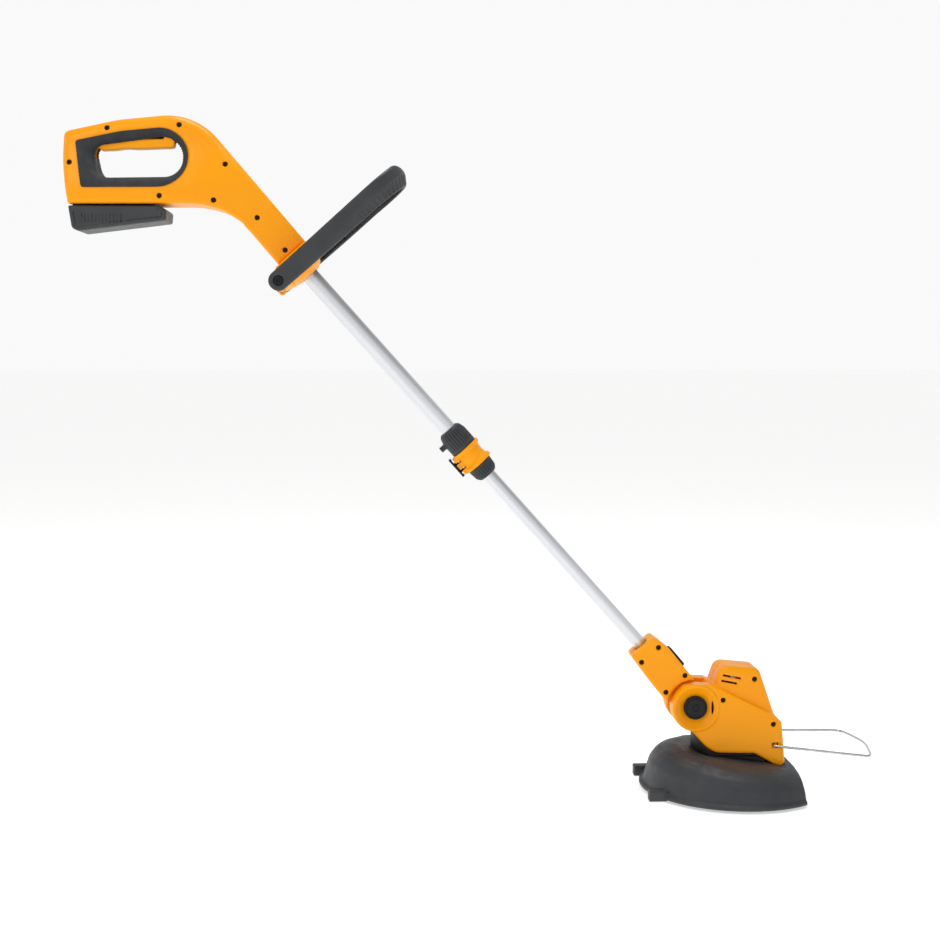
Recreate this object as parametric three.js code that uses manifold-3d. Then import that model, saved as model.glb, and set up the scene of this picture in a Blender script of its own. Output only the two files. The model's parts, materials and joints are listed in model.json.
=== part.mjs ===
// Cordless string trimmer, in millimetres, +Z up, +X forward to the cutting head, +Y to the operator's left.
// The origin is the middle of the rear grip's top bar.
import * as THREE from "three";
import { mergeVertices } from "three/addons/utils/BufferGeometryUtils.js";
import Module from "manifold-3d";

const wasm = await Module();
wasm.setup();

// Clearances
const GAP = 0.3; // between fixed pieces that touch
const RUN = 0.5; // between pieces that turn or slide

// Shaft: collarPoint is where the shaft's axis leaves the handle bracket
const COLLAR_POINT = [218.35, -183.87];
const SHAFT_PITCH = THREE.MathUtils.degToRad(48.31);
const UPPER_TUBE_R = 11;
const LOWER_TUBE_R = 9;
const TUBE_WALL = 1.2;
const UPPER_TUBE_START = -85;
const COUPLER_START = 264.6;
const NECK_START = 646;
const PIVOT_S = 751;
const PIVOT_N = -1.6;

// Rear handle unit
const WALL = 2.6;
const TOP_BAR_HALF = 17;
const PACK_HALF = 36;
const NECK_HALF = 24;
const FRONT_END = -35;
const LINING = 1.6;
const SCREW_R = 2.1;
const SCREW_HEAD_R = 3;
const SCREW_HEAD = 2.4;

// Battery pack
const BATTERY_TOP = -99.5;
const BATTERY_LENGTH = 121;
const BATTERY_REAR = -79;
const BATTERY_HALF = 35;

// Loop handle, in shaft coordinates
const LOOP_PIVOT_S = -19;
const LOOP_PIVOT_N = -34;
const LOOP_TOP_N = 178;
const LOOP_WIDTH = 25;
const LOOP_INNER_HALF = 38;
const LOOP_ARM = 11;
const LOOP_SPREAD = 10;
const BOLT_R = 4;

// Coupler
const COLLAR_R = 18.2;
const COLLAR_LENGTH = 31;
const SLEEVE_LENGTH = 28;
const FLANGE_R = 20.4;
const NUT_LENGTH = 18.5;

// Head
const HEAD_HALF = 38;
const HEAD_WALL = 3;
const BULGE_HALF = 28;
const PIVOT_RING_R = 31;
const CAP_R = 15.6;
const TONGUE_HALF = 12;
const NECK_SHELL_HALF = 21;

// Guard and spool
const GUARD_CENTRE = [774.7, 0, -856.5];
const GUARD_R = 125;
const GUARD_WALL = 3;
const GUARD_HEIGHT = 58;
const GUARD_CUT_X = 74;
const SPOOL_R = 41;
const CUP_WALL = 2.2;
const WIRE_R = 1.6;
const SPINDLE_HOLE_R = 9;
const MOTOR_R = 15;

const root = new THREE.Group();
const along = new THREE.Group(); // local X runs down the shaft, local Z is the shaft's upper side
along.position.set(COLLAR_POINT[0], 0, COLLAR_POINT[1]);
along.rotation.y = SHAFT_PITCH;
root.add(along);

const FINISH = {
  yellow: [0xf2a007, 0.42, 0],
  dark: [0x3a3e42, 0.6, 0],
  soft: [0x2b2d31, 0.85, 0],
  black: [0x161616, 0.6, 0],
  alloy: [0xd9dadc, 0.35, 1],
  steel: [0xb9bbbd, 0.3, 1],
  brass: [0xc7a24c, 0.35, 1],
  board: [0x1d6b3a, 0.6, 0],
  line: [0xe0e0d8, 0.5, 0],
};

// ---- solids and geometries -------------------------------------------------------------------

function solid(geometry) {
  const g = geometry.index ? geometry : geometry.clone();
  g.deleteAttribute("normal");
  g.deleteAttribute("uv");
  const merged = mergeVertices(g, 1e-4);
  return new wasm.Manifold(
    new wasm.Mesh({
      numProp: 3,
      vertProperties: new Float32Array(merged.attributes.position.array),
      triVerts: new Uint32Array(merged.index.array),
    }),
  );
}

function geometryOf(manifold) {
  const mesh = manifold.getMesh();
  const g = new THREE.BufferGeometry();
  g.setAttribute("position", new THREE.BufferAttribute(mesh.vertProperties, 3));
  g.setIndex(new THREE.BufferAttribute(mesh.triVerts, 1));
  g.computeVertexNormals();
  return g;
}

function put(name, shape, finish, group = root) {
  const [color, roughness, metalness] = FINISH[finish];
  const material = new THREE.MeshStandardMaterial({ color, roughness, metalness });
  const mesh = new THREE.Mesh(shape.isBufferGeometry ? shape : geometryOf(shape), material);
  mesh.name = name;
  group.add(mesh);
}

const join = (...solids) => solids.reduce((a, b) => a.add(b));
const cut = (a, ...solids) => solids.reduce((rest, b) => rest.subtract(b), a);

function box(x0, x1, y0, y1, z0, z1) {
  const g = new THREE.BoxGeometry(x1 - x0, y1 - y0, z1 - z0);
  return solid(g.translate((x0 + x1) / 2, (y0 + y1) / 2, (z0 + z1) / 2));
}

// A cylinder or cone along Y, X or Z between two stations
function rod(axis, from, to, centre, r0, r1 = r0, sides = 16) {
  const g = new THREE.CylinderGeometry(r1, r0, to - from, sides);
  g.translate(0, (from + to) / 2, 0);
  if (axis === "x") g.rotateZ(-Math.PI / 2).translate(0, centre[0], centre[1]);
  if (axis === "y") g.translate(centre[0], 0, centre[1]);
  if (axis === "z") g.rotateX(Math.PI / 2).translate(centre[0], centre[1], 0);
  return solid(g);
}

// A turned piece about the shaft's axis: profile is a closed list of [station, radius]
function turned(profile, sides = 28) {
  const points = profile.map(([s, r]) => new THREE.Vector2(r, s));
  if (profile[0][1] > 0) points.push(points[0].clone());
  return solid(new THREE.LatheGeometry(points, sides).rotateZ(-Math.PI / 2));
}

function pipe(from, to, r, bore, sides = 24) {
  return turned([[from, bore], [to, bore], [to, r], [from, r]].reverse(), sides);
}

// Corners [x, z, radius] become an outline with round corners, and long edges are divided
function outline(corners, step = 40) {
  const points = [];
  corners.forEach(([x, z, r], i) => {
    const here = new THREE.Vector2(x, z);
    const before = corners[(i + corners.length - 1) % corners.length];
    const after = corners[(i + 1) % corners.length];
    const back = new THREE.Vector2(before[0] - x, before[1] - z).normalize();
    const ahead = new THREE.Vector2(after[0] - x, after[1] - z).normalize();
    const half = Math.acos(THREE.MathUtils.clamp(back.dot(ahead), -1, 1)) / 2;
    if (!r) {
      points.push(here);
      return;
    }
    const reach = r / Math.tan(half);
    const start = here.clone().addScaledVector(back, reach);
    const middle = back.clone().add(ahead).normalize();
    const centre = here.clone().addScaledVector(middle, r / Math.sin(half));
    const a0 = Math.atan2(start.y - centre.y, start.x - centre.x);
    const turn = Math.sign(ahead.x * back.y - ahead.y * back.x) * (Math.PI - 2 * half);
    const count = Math.max(2, Math.ceil((Math.abs(turn) * Math.sqrt(r)) / 2));
    for (let k = 0; k <= count; k++) {
      const a = a0 + (turn * k) / count;
      points.push(new THREE.Vector2(centre.x + r * Math.cos(a), centre.y + r * Math.sin(a)));
    }
  });
  const divided = [];
  points.forEach((p, i) => {
    const q = points[(i + 1) % points.length];
    const parts = Math.ceil(p.distanceTo(q) / step);
    for (let k = 0; k < parts; k++) divided.push(p.clone().lerp(q, k / parts));
  });
  return divided;
}

// The same outline moved inwards by d
function inset(points, d) {
  const turn = Math.sign(THREE.ShapeUtils.area(points));
  return points.map((p, i) => {
    const a = points[(i + points.length - 1) % points.length];
    const b = points[(i + 1) % points.length];
    const t0 = p.clone().sub(a).normalize();
    const t1 = b.clone().sub(p).normalize();
    const n = new THREE.Vector2(-t0.y - t1.y, t0.x + t1.x).normalize().multiplyScalar(turn);
    return p.clone().addScaledVector(n, d / Math.max(0.5, Math.sqrt((1 + t0.dot(t1)) / 2)));
  });
}

// A slab with the outline in X and Z, from side -half to +half, where half may vary with place
function slab(points, half, low = null) {
  const g = new THREE.ExtrudeGeometry(new THREE.Shape(points), { depth: 1, bevelEnabled: false });
  const p = g.attributes.position;
  const sideAt = (x, z) => (typeof half === "function" ? half(x, z) : half);
  for (let i = 0; i < p.count; i++) {
    const x = p.getX(i);
    const z = p.getY(i);
    const far = sideAt(x, z);
    const near = low === null ? -far : low;
    p.setXYZ(i, x, p.getZ(i) > 0.5 ? near : far, z);
  }
  return solid(g);
}

const RIGHT = box(-200, 1100, -200, -GAP / 2, -1000, 400);
const LEFT = box(-200, 1100, GAP / 2, 200, -1000, 400);

// From shaft coordinates to the part's X and Z
function fromShaft(s, n) {
  const c = Math.cos(SHAFT_PITCH);
  const q = Math.sin(SHAFT_PITCH);
  return [COLLAR_POINT[0] + s * c + n * q, COLLAR_POINT[1] - s * q + n * c];
}

function toShaft(x, z) {
  const c = Math.cos(SHAFT_PITCH);
  const q = Math.sin(SHAFT_PITCH);
  const dx = x - COLLAR_POINT[0];
  const dz = z - COLLAR_POINT[1];
  return [dx * c - dz * q, dx * q + dz * c];
}

// Turns a solid made in shaft coordinates into the part's frame
function shaftSolid(manifold) {
  const g = geometryOf(manifold);
  g.rotateY(SHAFT_PITCH);
  g.translate(COLLAR_POINT[0], 0, COLLAR_POINT[1]);
  return solid(g);
}

// A fastener along Y: a long shank and a head sunk below the right side
function screw(x, z, headY, tipY) {
  const head = rod("y", headY, headY + SCREW_HEAD, [x, z], SCREW_HEAD_R, SCREW_HEAD_R, 10);
  return join(head, rod("y", headY + 2, tipY, [x, z], SCREW_R, SCREW_R, 8));
}

function screwHole(x, z, headY, tipY) {
  const headHole = SCREW_HEAD_R + GAP;
  const mouth = rod("y", headY - 40, headY + SCREW_HEAD + GAP, [x, z], headHole, headHole, 10);
  return join(mouth, rod("y", headY, tipY + 1, [x, z], SCREW_R + GAP, SCREW_R + GAP, 8));
}

// ---- rear handle unit ------------------------------------------------------------------------

const smooth = (t, a, b) => THREE.MathUtils.smoothstep(t, a, b);

function rearHalf(x, z) {
  const grip = THREE.MathUtils.lerp(PACK_HALF, TOP_BAR_HALF, smooth(z, -88, -6));
  return THREE.MathUtils.lerp(grip, NECK_HALF, smooth(x, 70, 165));
}

const REAR_OUTLINE = outline([
  [-87.5, -5.5, 9],
  [-20, 9.5, 160],
  [76, 19.4, 80],
  [...fromShaft(FRONT_END, NECK_HALF), 0],
  [...fromShaft(FRONT_END, -NECK_HALF + 3), 0],
  [115, -96, 100],
  [-79.5, -97.5, 3],
  [-88.5, -40, 150],
]);
const OPENING = outline([
  [-49, -24.5, 12],
  [62, -9, 25],
  [60, -63, 22],
  [-44, -65, 17],
]);
const PATCH = outline([
  [-71.5, -18, 4],
  [-15, -6, 150],
  [67, 2, 35],
  [68.5, -76, 38],
  [-62.5, -77.5, 4],
]);
const REAR_SCREWS = [
  [-32.3, -1.9],
  [57, 2.5],
  [-78, -45.7],
  [33.5, -87],
  [100, -92],
  [114.3, -46.8],
  [153.2, -112.8],
  [187.8, -153.1],
];
const TRIGGER_HALF = 9;
const TRIGGER_PIVOT = [46, -4.5];
const RAIL = [-84, 22, 20, -88.5];
const BUTTON = [75, -10, 6];

function rearShells() {
  const grown = slab(inset(OPENING, -(LINING + GAP)), 60);
  const rim = slab(inset(OPENING, -(LINING + GAP + WALL)), 60);
  const outer = cut(slab(REAR_OUTLINE, rearHalf), grown);
  const sides = slab(REAR_OUTLINE, (x, z) => rearHalf(x, z) - WALL);
  const hollow = cut(sides.intersect(slab(inset(REAR_OUTLINE, WALL), 60)), rim);
  const bosses = REAR_SCREWS.map(([x, z]) => rod("y", -60, 60, [x, z], 4.6, 4.6, 8));
  let shell = cut(outer, cut(hollow, ...bosses));
  REAR_SCREWS.forEach(([x, z]) => {
    shell = shell.subtract(screwHole(x, z, 2 - rearHalf(x, z), 9));
  });
  const slot = box(-52, 58, -TRIGGER_HALF - RUN, TRIGGER_HALF + RUN, -40, -4);
  const channel = box(-120, RAIL[1] + 1, -RAIL[2] - RUN, RAIL[2] + RUN, -120, RAIL[3] + RUN);
  const bore = shaftSolid(rod("x", UPPER_TUBE_START - 2, 40, [0, 0], UPPER_TUBE_R + GAP));
  shell = cut(shell, slot, channel, bore);
  const side = rearHalf(BUTTON[0], BUTTON[1]);
  const buttonHole = rod("y", 0, side + 9, BUTTON, BUTTON[2] + RUN);
  put("rear_shell_right", shell.intersect(RIGHT), "yellow");
  put("rear_shell_left", cut(shell.intersect(LEFT), buttonHole), "yellow");
  put("lock_off_button", rod("y", side - 5, side + 2.5, BUTTON, BUTTON[2]), "black");
}

function gripLinings() {
  const skin = slab(REAR_OUTLINE, (x, z) => rearHalf(x, z) + LINING);
  const under = slab(REAR_OUTLINE, (x, z) => rearHalf(x, z) + GAP);
  const opening = slab(OPENING, 60);
  const sleeve = slab(inset(OPENING, -LINING), 60).intersect(skin);
  const face = cut(slab(PATCH, 60).intersect(skin), under);
  const slot = box(-52, 58, -TRIGGER_HALF - RUN, TRIGGER_HALF + RUN, -40, -4);
  const lining = cut(join(face, sleeve), opening, slot);
  put("grip_lining_right", lining.intersect(RIGHT), "soft");
  put("grip_lining_left", lining.intersect(LEFT), "soft");
}

function triggerGroup() {
  const [px, pz] = TRIGGER_PIVOT;
  const paddle = outline([
    [-46, -15, 0],
    [-47.5, -24, 2],
    [-41, -29, 5],
    [50, -25, 3],
    [52, 0, 4],
    [40, 0, 4],
    [36, -15, 0],
  ]);
  put("trigger", cut(slab(paddle, TRIGGER_HALF), rod("y", -20, 20, [px, pz], 2 + RUN)), "yellow");
  put("trigger_pin", rod("y", -13, 13, [px, pz], 2), "steel");
  const coil = cut(rod("y", 9.8, 12.6, [px, pz], 4), rod("y", 9, 14, [px, pz], 2 + GAP));
  put("trigger_spring", coil, "steel");
  put("micro_switch", box(-22, 0, -5, 5, -7.5, 2), "black");
  put("control_board", box(74, 108, -0.9, 0.9, -76, -34), "board");
  put("battery_terminals", box(6, 20, -16, 16, -86, -76), "brass");
}

function battery() {
  const side = outline([
    [BATTERY_REAR, BATTERY_TOP, 2],
    [BATTERY_REAR + BATTERY_LENGTH - 8, BATTERY_TOP, 4],
    [BATTERY_REAR + BATTERY_LENGTH, BATTERY_TOP - 5, 4],
    [BATTERY_REAR + BATTERY_LENGTH - 1, BATTERY_TOP - 18, 3],
    [-67, BATTERY_TOP - 31.5, 6],
    [-75, BATTERY_TOP - 28, 6],
  ]);
  const rail = box(RAIL[0] + 8, RAIL[1], -RAIL[2], RAIL[2], BATTERY_TOP - 3, RAIL[3]);
  const pocket = box(-90, -70, -13, 13, BATTERY_TOP - 14, BATTERY_TOP - 3);
  put("battery_pack", cut(join(slab(side, BATTERY_HALF), rail), pocket), "dark");
  put("battery_release", box(-78.5, -74, -12.5, 12.5, BATTERY_TOP - 13.5, BATTERY_TOP - 3.5), "black");
}

// ---- front handle ----------------------------------------------------------------------------

function frontHandle() {
  const block = outline([
    [FRONT_END + GAP, NECK_HALF + 0.5, 0],
    [-6, NECK_HALF + 0.5, 14],
    [0.5, 14, 10],
    [0.5, -14, 18],
    [-6, -42, 7],
    [-26, -44, 8],
    [FRONT_END + GAP, -24, 5],
  ]);
  const side = LOOP_INNER_HALF - RUN;
  const bolt = [LOOP_PIVOT_S, LOOP_PIVOT_N];
  const drum = rod("x", -60, 20, [0, 0], side + 9, side + 9, 32);
  const tubeHole = rod("x", -60, 20, [0, 0], UPPER_TUBE_R + GAP, UPPER_TUBE_R + GAP, 24);
  const boltHole = rod("y", -60, 60, bolt, BOLT_R + GAP);
  put("handle_bracket", cut(slab(block, side).intersect(drum), tubeHole, boltHole), "yellow", along);

  const outer = LOOP_INNER_HALF + LOOP_ARM;
  const foot = LOOP_PIVOT_N - LOOP_WIDTH / 2;
  const arch = outline([
    [-outer, foot, 0],
    [-outer - LOOP_SPREAD, LOOP_TOP_N, 56],
    [outer + LOOP_SPREAD, LOOP_TOP_N, 56],
    [outer, foot, 0],
    [LOOP_INNER_HALF, foot, 0],
    [LOOP_INNER_HALF + LOOP_SPREAD - 2, LOOP_TOP_N - 15, 44],
    [-LOOP_INNER_HALF - LOOP_SPREAD + 2, LOOP_TOP_N - 15, 44],
    [-LOOP_INNER_HALF, foot, 0],
  ]);
  const low = LOOP_PIVOT_S - LOOP_WIDTH / 2;
  const high = LOOP_PIVOT_S + LOOP_WIDTH / 2;
  const profile = outline([
    [low, foot, LOOP_WIDTH / 2 - 0.3],
    [high, foot, LOOP_WIDTH / 2 - 0.3],
    [high + 4, LOOP_TOP_N, 12],
    [low - 1, LOOP_TOP_N, 12],
  ]);
  const band = solid(geometryOf(slab(arch, 40)).rotateZ(Math.PI / 2));
  const recess = join(rod("y", -80, -outer + 4.5, bolt, 6.4), rod("y", outer - 4.5, 80, bolt, 6.4));
  put("loop_handle", cut(band.intersect(slab(profile, 90)), boltHole, recess), "dark", along);

  const head = rod("y", -outer + 0.8, -outer + 4.2, bolt, 6);
  const socket = rod("y", -outer - 1, -outer + 3.2, bolt, 2.6, 2.6, 6);
  const shank = rod("y", -outer + 4, outer - 2, bolt, BOLT_R);
  put("handle_bolt", cut(join(head, shank), socket), "black", along);
  const nut = rod("y", outer - 4.2, outer - 1, bolt, 6.1, 6.1, 6);
  put("handle_nut", cut(nut, rod("y", 0, 80, bolt, BOLT_R + GAP)), "steel", along);
}

// ---- tubes and coupler -----------------------------------------------------------------------

function tubesAndCoupler() {
  const end = COUPLER_START + COLLAR_LENGTH;
  const tubeEnd = end - 12;
  const tube = pipe(UPPER_TUBE_START, tubeEnd, UPPER_TUBE_R, UPPER_TUBE_R - TUBE_WALL);
  const crossHole = rod("y", -20, 20, toShaft(...REAR_SCREWS[7]), SCREW_R + GAP, SCREW_R + GAP, 16);
  put("upper_tube", tube.subtract(crossHole), "alloy", along);
  const collar = turned(
    [
      [end, 15],
      [tubeEnd + GAP, 15],
      [tubeEnd + GAP, UPPER_TUBE_R + GAP],
      [COUPLER_START, UPPER_TUBE_R + GAP],
      [COUPLER_START, 12.8],
      [COUPLER_START + 3, 15.6],
      [COUPLER_START + 10, COLLAR_R],
      [end, COLLAR_R],
    ],
    28,
  );
  const peg = rod("z", -25.5, -COLLAR_R + 1.5, [COUPLER_START + 14, 0], 4, 4, 16);
  put("upper_collar", join(collar, peg), "black", along);

  const s0 = end + RUN;
  const s1 = s0 + SLEEVE_LENGTH;
  const bore = LOWER_TUBE_R + RUN;
  const waist = 17;
  const sleeve = turned(
    [
      [s1, bore],
      [s0 - 9, bore],
      [s0 - 9, 14.5],
      [s0, 14.5],
      [s0, FLANGE_R],
      [s0 + 4.5, FLANGE_R],
      [s0 + 6.5, waist],
      [s1 - 6.5, waist],
      [s1 - 4.5, FLANGE_R],
      [s1, FLANGE_R],
    ],
    28,
  );
  const mid = (s0 + s1) / 2;
  const pinN = -20.3;
  const ears = join(
    box(mid - 4, mid + 4, 4.6, 8.5, pinN - 3, -12),
    box(mid - 4, mid + 4, -8.5, -4.6, pinN - 3, -12),
  );
  const pinHole = rod("y", -20, 20, [mid, pinN], 1.5 + GAP, 1.5 + GAP, 12);
  put("coupler_sleeve", cut(join(sleeve, ears), pinHole), "yellow", along);
  put("lever_pin", rod("y", -8.3, 8.3, [mid, pinN], 1.5, 1.5, 12), "steel", along);
  const blade = box(s0 - 1, s1 - 1, -8.5, 8.5, -26.8, -24);
  const boss = rod("y", -4, 4, [mid, pinN], 2.9, 2.9, 16);
  const stem = box(mid - 2.6, mid + 2.6, -4, 4, -24.5, pinN);
  put("release_lever", cut(join(blade, boss, stem), pinHole), "black", along);

  const n0 = s1 + RUN;
  const nut = turned(
    [
      [n0 + NUT_LENGTH, LOWER_TUBE_R + RUN],
      [n0 + 15, 12.2],
      [n0, 12.2],
      [n0, 17.3],
      [n0 + 13, 15.8],
      [n0 + 16.5, 13.6],
      [n0 + NUT_LENGTH, 11.6],
    ],
    28,
  );
  put("lock_nut", nut, "black", along);
  put("collet", pipe(n0 + 0.5, n0 + 13.5, 11.7, LOWER_TUBE_R + GAP), "black", along);

  put("lower_tube", pipe(170, NECK_START + 44, LOWER_TUBE_R, LOWER_TUBE_R - TUBE_WALL), "alloy", along);
  put("coiled_lead", rod("x", 172, NECK_START + 60, [0, 0], 5.6, 5.6, 12), "black", along);
}

// ---- neck ------------------------------------------------------------------------------------

const NECK_SCREWS = [
  [660.3, -14.6],
  [660.6, 14.8],
  [712.4, 16.3],
  [712.2, -17],
];
const TILT_BUTTON = [674, 704.5, 8.5];

function neck() {
  const side = outline([
    [NECK_START, -19.5, 4],
    [NECK_START, 19.5, 6],
    [672, 24.3, 8],
    [735, 21.5, 0],
    [735, -25.5, 0],
    [690, -23.5, 30],
  ]);
  const pivot = [PIVOT_S, PIVOT_N];
  const ring = rod("y", -60, 60, pivot, PIVOT_RING_R + 3, PIVOT_RING_R + 3, 36);
  const body = cut(slab(side, NECK_SHELL_HALF), ring);
  const tongue = outline([
    [700, 15, 0],
    [PIVOT_S, 12, 0],
    [PIVOT_S, -15, 0],
    [700, -17, 0],
  ]);
  const web = slab(tongue, TONGUE_HALF);
  const disc = rod("y", -TONGUE_HALF, TONGUE_HALF, pivot, 25, 25, 28);
  const [b0, b1, bw] = TILT_BUTTON;
  const pocket = box(b0 - RUN, b1 + RUN, -bw - RUN, bw + RUN, 12, 40);
  const tubeHole = rod("x", 600, NECK_START + 44 + GAP, [0, 0], LOWER_TUBE_R + GAP);
  const leadHole = rod("x", 600, NECK_START + 60 + GAP, [0, 0], 6.2);
  const pinHole = rod("y", -60, 60, pivot, 6 + RUN);
  let shell = cut(join(body, web, disc), pocket, tubeHole, leadHole, pinHole);
  NECK_SCREWS.forEach(([s, n], i) => {
    const headY = 1.5 - NECK_SHELL_HALF;
    shell = shell.subtract(screwHole(s, n, headY, 12));
    put(`neck_screw_${i + 1}`, screw(s, n, headY, 12), "black", along);
  });
  put("neck_shell_right", shell.intersect(RIGHT), "yellow", along);
  put("neck_shell_left", shell.intersect(LEFT), "yellow", along);
  const padSide = outline([
    [b0, 15.5, 0],
    [b0, 27, 3],
    [b1, 26.4, 3],
    [b1, 15.5, 0],
  ]);
  const pad = slab(padSide, bw);
  put("tilt_button", pad, "black", along);
}

// ---- head ------------------------------------------------------------------------------------

const [PIVOT_X, PIVOT_Z] = fromShaft(PIVOT_S, PIVOT_N);
const HEAD_SCREWS = [
  [795.2, -709.4],
  [752, -735],
  [818.5, -767.6],
];
const WIRE_HOLE = [819.5, -795.5];
const AXIS_XY = [GUARD_CENTRE[0], 0];
const LOWER_BODY = outline([
  [700, -716, 8],
  [738, -715.5, 10],
  [822.5, -757.5, 4],
  [830.5, -765.5, 6],
  [835.5, -820, 6],
  [828, -826, 5],
  [794, -806.3, 8],
  [738, -806, 28],
  [687, -749, 6],
]);
const BULGE = outline([
  [741, -722, 0],
  [751, -691.5, 13],
  [802, -696.5, 9],
  [824, -760, 4],
  [800, -780, 0],
  [745, -770, 0],
]);
const headHalf = (x) => THREE.MathUtils.lerp(HEAD_HALF - 4, HEAD_HALF, smooth(x, 720, 790));

function motorShells() {
  const pivot = [PIVOT_X, PIVOT_Z];
  const face = HEAD_HALF - 2;
  const ring = rod("y", -face, face, pivot, PIVOT_RING_R, PIVOT_RING_R, 36);
  const body = join(slab(LOWER_BODY, headHalf), slab(BULGE, BULGE_HALF), ring);
  const room = box(738, 900, -100, 100, -900, -600);
  const sides = slab(LOWER_BODY, (x) => headHalf(x) - HEAD_WALL);
  const hollow = join(
    sides.intersect(slab(inset(LOWER_BODY, HEAD_WALL), 60)),
    slab(inset(BULGE, HEAD_WALL), BULGE_HALF - HEAD_WALL),
  ).intersect(room);
  const bosses = [...HEAD_SCREWS, WIRE_HOLE].map((at) => rod("y", -60, 60, at, 5, 5, 8));
  const [cx, cz] = pivot;
  const fan = [new THREE.Vector2(cx, cz)];
  for (let a = 55; a <= 215; a += 16) {
    const t = THREE.MathUtils.degToRad(a);
    fan.push(new THREE.Vector2(cx + 60 * Math.cos(t), cz + 60 * Math.sin(t)));
  }
  const slot = join(
    slab(fan, TONGUE_HALF + RUN),
    rod("y", -TONGUE_HALF - RUN, TONGUE_HALF + RUN, pivot, 26, 26, 28),
  );
  const dishes = join(
    rod("y", -face - 1, -face + 5, pivot, 27, CAP_R + 1.5, 28),
    rod("y", face - 5, face + 1, pivot, CAP_R + 1.5, 27, 28),
    rod("y", -60, -face + 9, pivot, CAP_R + GAP, CAP_R + GAP, 28),
    rod("y", face - 9, 60, pivot, CAP_R + GAP, CAP_R + GAP, 28),
    rod("y", -60, 60, pivot, 6 + GAP),
  );
  let shell = cut(body, cut(hollow, ...bosses), slot, dishes);
  HEAD_SCREWS.forEach(([x, z], i) => {
    const headY = 1.5 - (i === 0 ? BULGE_HALF : headHalf(x));
    shell = shell.subtract(screwHole(x, z, headY, 10));
    put(`head_screw_${i + 1}`, screw(x, z, headY, 10), "black");
  });
  const spindleHole = rod("z", -850, -790, AXIS_XY, SPINDLE_HOLE_R);
  const wireHoles = join(
    rod("y", -60, -HEAD_HALF + 11, WIRE_HOLE, WIRE_R + RUN),
    rod("y", HEAD_HALF - 11, 60, WIRE_HOLE, WIRE_R + RUN),
  );
  let vents = null;
  [-706, -713].forEach((z, i) => {
    const x0 = i === 0 ? 753 : 751;
    const vent = box(x0, x0 + 24 - 3 * i, -60, 60, z - 1.3, z + 1.3);
    vents = vents ? vents.add(vent) : vent;
  });
  shell = cut(shell, spindleHole, wireHoles, vents);
  put("motor_shell_right", shell.intersect(RIGHT), "yellow");
  put("motor_shell_left", shell.intersect(LEFT), "yellow");
  put("pivot_pin", rod("y", -face + 9.4, face - 9.4, pivot, 6 - GAP), "steel");
  put("pivot_cap_right", rod("y", -face + 3, -face + 8.7, pivot, CAP_R, CAP_R, 28), "black");
  put("pivot_cap_left", rod("y", face - 8.7, face - 3, pivot, CAP_R, CAP_R, 28), "black");
  put("motor", rod("z", -770, -702, AXIS_XY, MOTOR_R, MOTOR_R, 32), "steel");
}

// ---- guard -----------------------------------------------------------------------------------

// The dome is higher at the back: heights above the rim flange scale with this factor
function domeHeight(x, z) {
  const lean = 0.93 - 0.003 * x - 1;
  return z * (1 + lean * THREE.MathUtils.clamp((z - 6) / 20, 0, 1));
}

function dome(profile) {
  const points = profile.map(([r, z]) => new THREE.Vector2(r, z));
  points.push(points[0].clone());
  const g = new THREE.LatheGeometry(points, 48).rotateX(Math.PI / 2);
  const p = g.attributes.position;
  for (let i = 0; i < p.count; i++) p.setZ(i, domeHeight(p.getX(i), p.getZ(i)));
  return solid(g.translate(...GUARD_CENTRE));
}

function guardTop(grow) {
  const h = GUARD_HEIGHT;
  return [
    [118, 12],
    [112.5, 26],
    [104, 37],
    [92, 46],
    [81, h - 5],
    [72, h - 1.5],
    [66, h - 1.5],
    [58, h - 12],
    [10, h - 12.5],
  ].map(([r, z]) => [r + grow, z + grow]);
}

function guard() {
  const w = GUARD_WALL;
  const skin = dome([
    [GUARD_R - 8, 0],
    [GUARD_R, 0],
    [GUARD_R, 4],
    [GUARD_R - 5, 6],
    ...guardTop(0),
    ...guardTop(-w)
      .reverse()
      .map(([r, z]) => [Math.max(r, 10), z]),
  ]);
  const cutX = GUARD_CENTRE[0] + GUARD_CUT_X;
  const front = box(cutX, 1100, -200, 200, -900, -700);
  const lug = (y) => box(650, 672, y - 7, y + 7, -859.5, -845);
  const filled = dome([[0.01, 0], [117, 0], ...guardTop(GAP), [0.01, GUARD_HEIGHT - 12.5]]);
  const nose = [
    [780, -780, 0],
    [838, -780, 0],
    [838, -822, 0],
    [829, -828.5, 0],
    [793, -807.8, 0],
    [780, -807.8, 0],
  ];
  const recess = slab(outline(nose), HEAD_HALF + 1);
  const floor = [
    [790, -800, 0],
    [850, -800, 0],
    [850, -826, 0],
    [833, -832, 0],
    [820, -830, 0],
    [790, -812, 0],
  ];
  const tray = slab(outline(floor), HEAD_HALF + 1 + w).intersect(filled);
  const body = cut(join(skin, lug(59), lug(-59), tray), front, recess);
  put("guard", body, "dark");
  put("line_cutter_blade", box(cutX - 27, cutX - 2, -87, -85.5, -860, -848), "steel");

  const foot = slab(
    outline([
      [712, -782, 0],
      [760, -790, 0],
      [802, -806, 0],
      [802, -824, 0],
      [712, -815, 0],
    ]),
    HEAD_HALF - 1,
  ).intersect(rod("z", -900, -700, AXIS_XY, 57, 57, 32));
  const above = slab(inset(LOWER_BODY, -GAP), 90);
  const below = dome([[0.01, 3], [117, 3], ...guardTop(GAP), [0.01, GUARD_HEIGHT - 12.5 + GAP]]);
  const base = cut(foot, above, below, rod("z", -900, -700, AXIS_XY, SPINDLE_HOLE_R));
  put("motor_base", base, "black");
}

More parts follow.
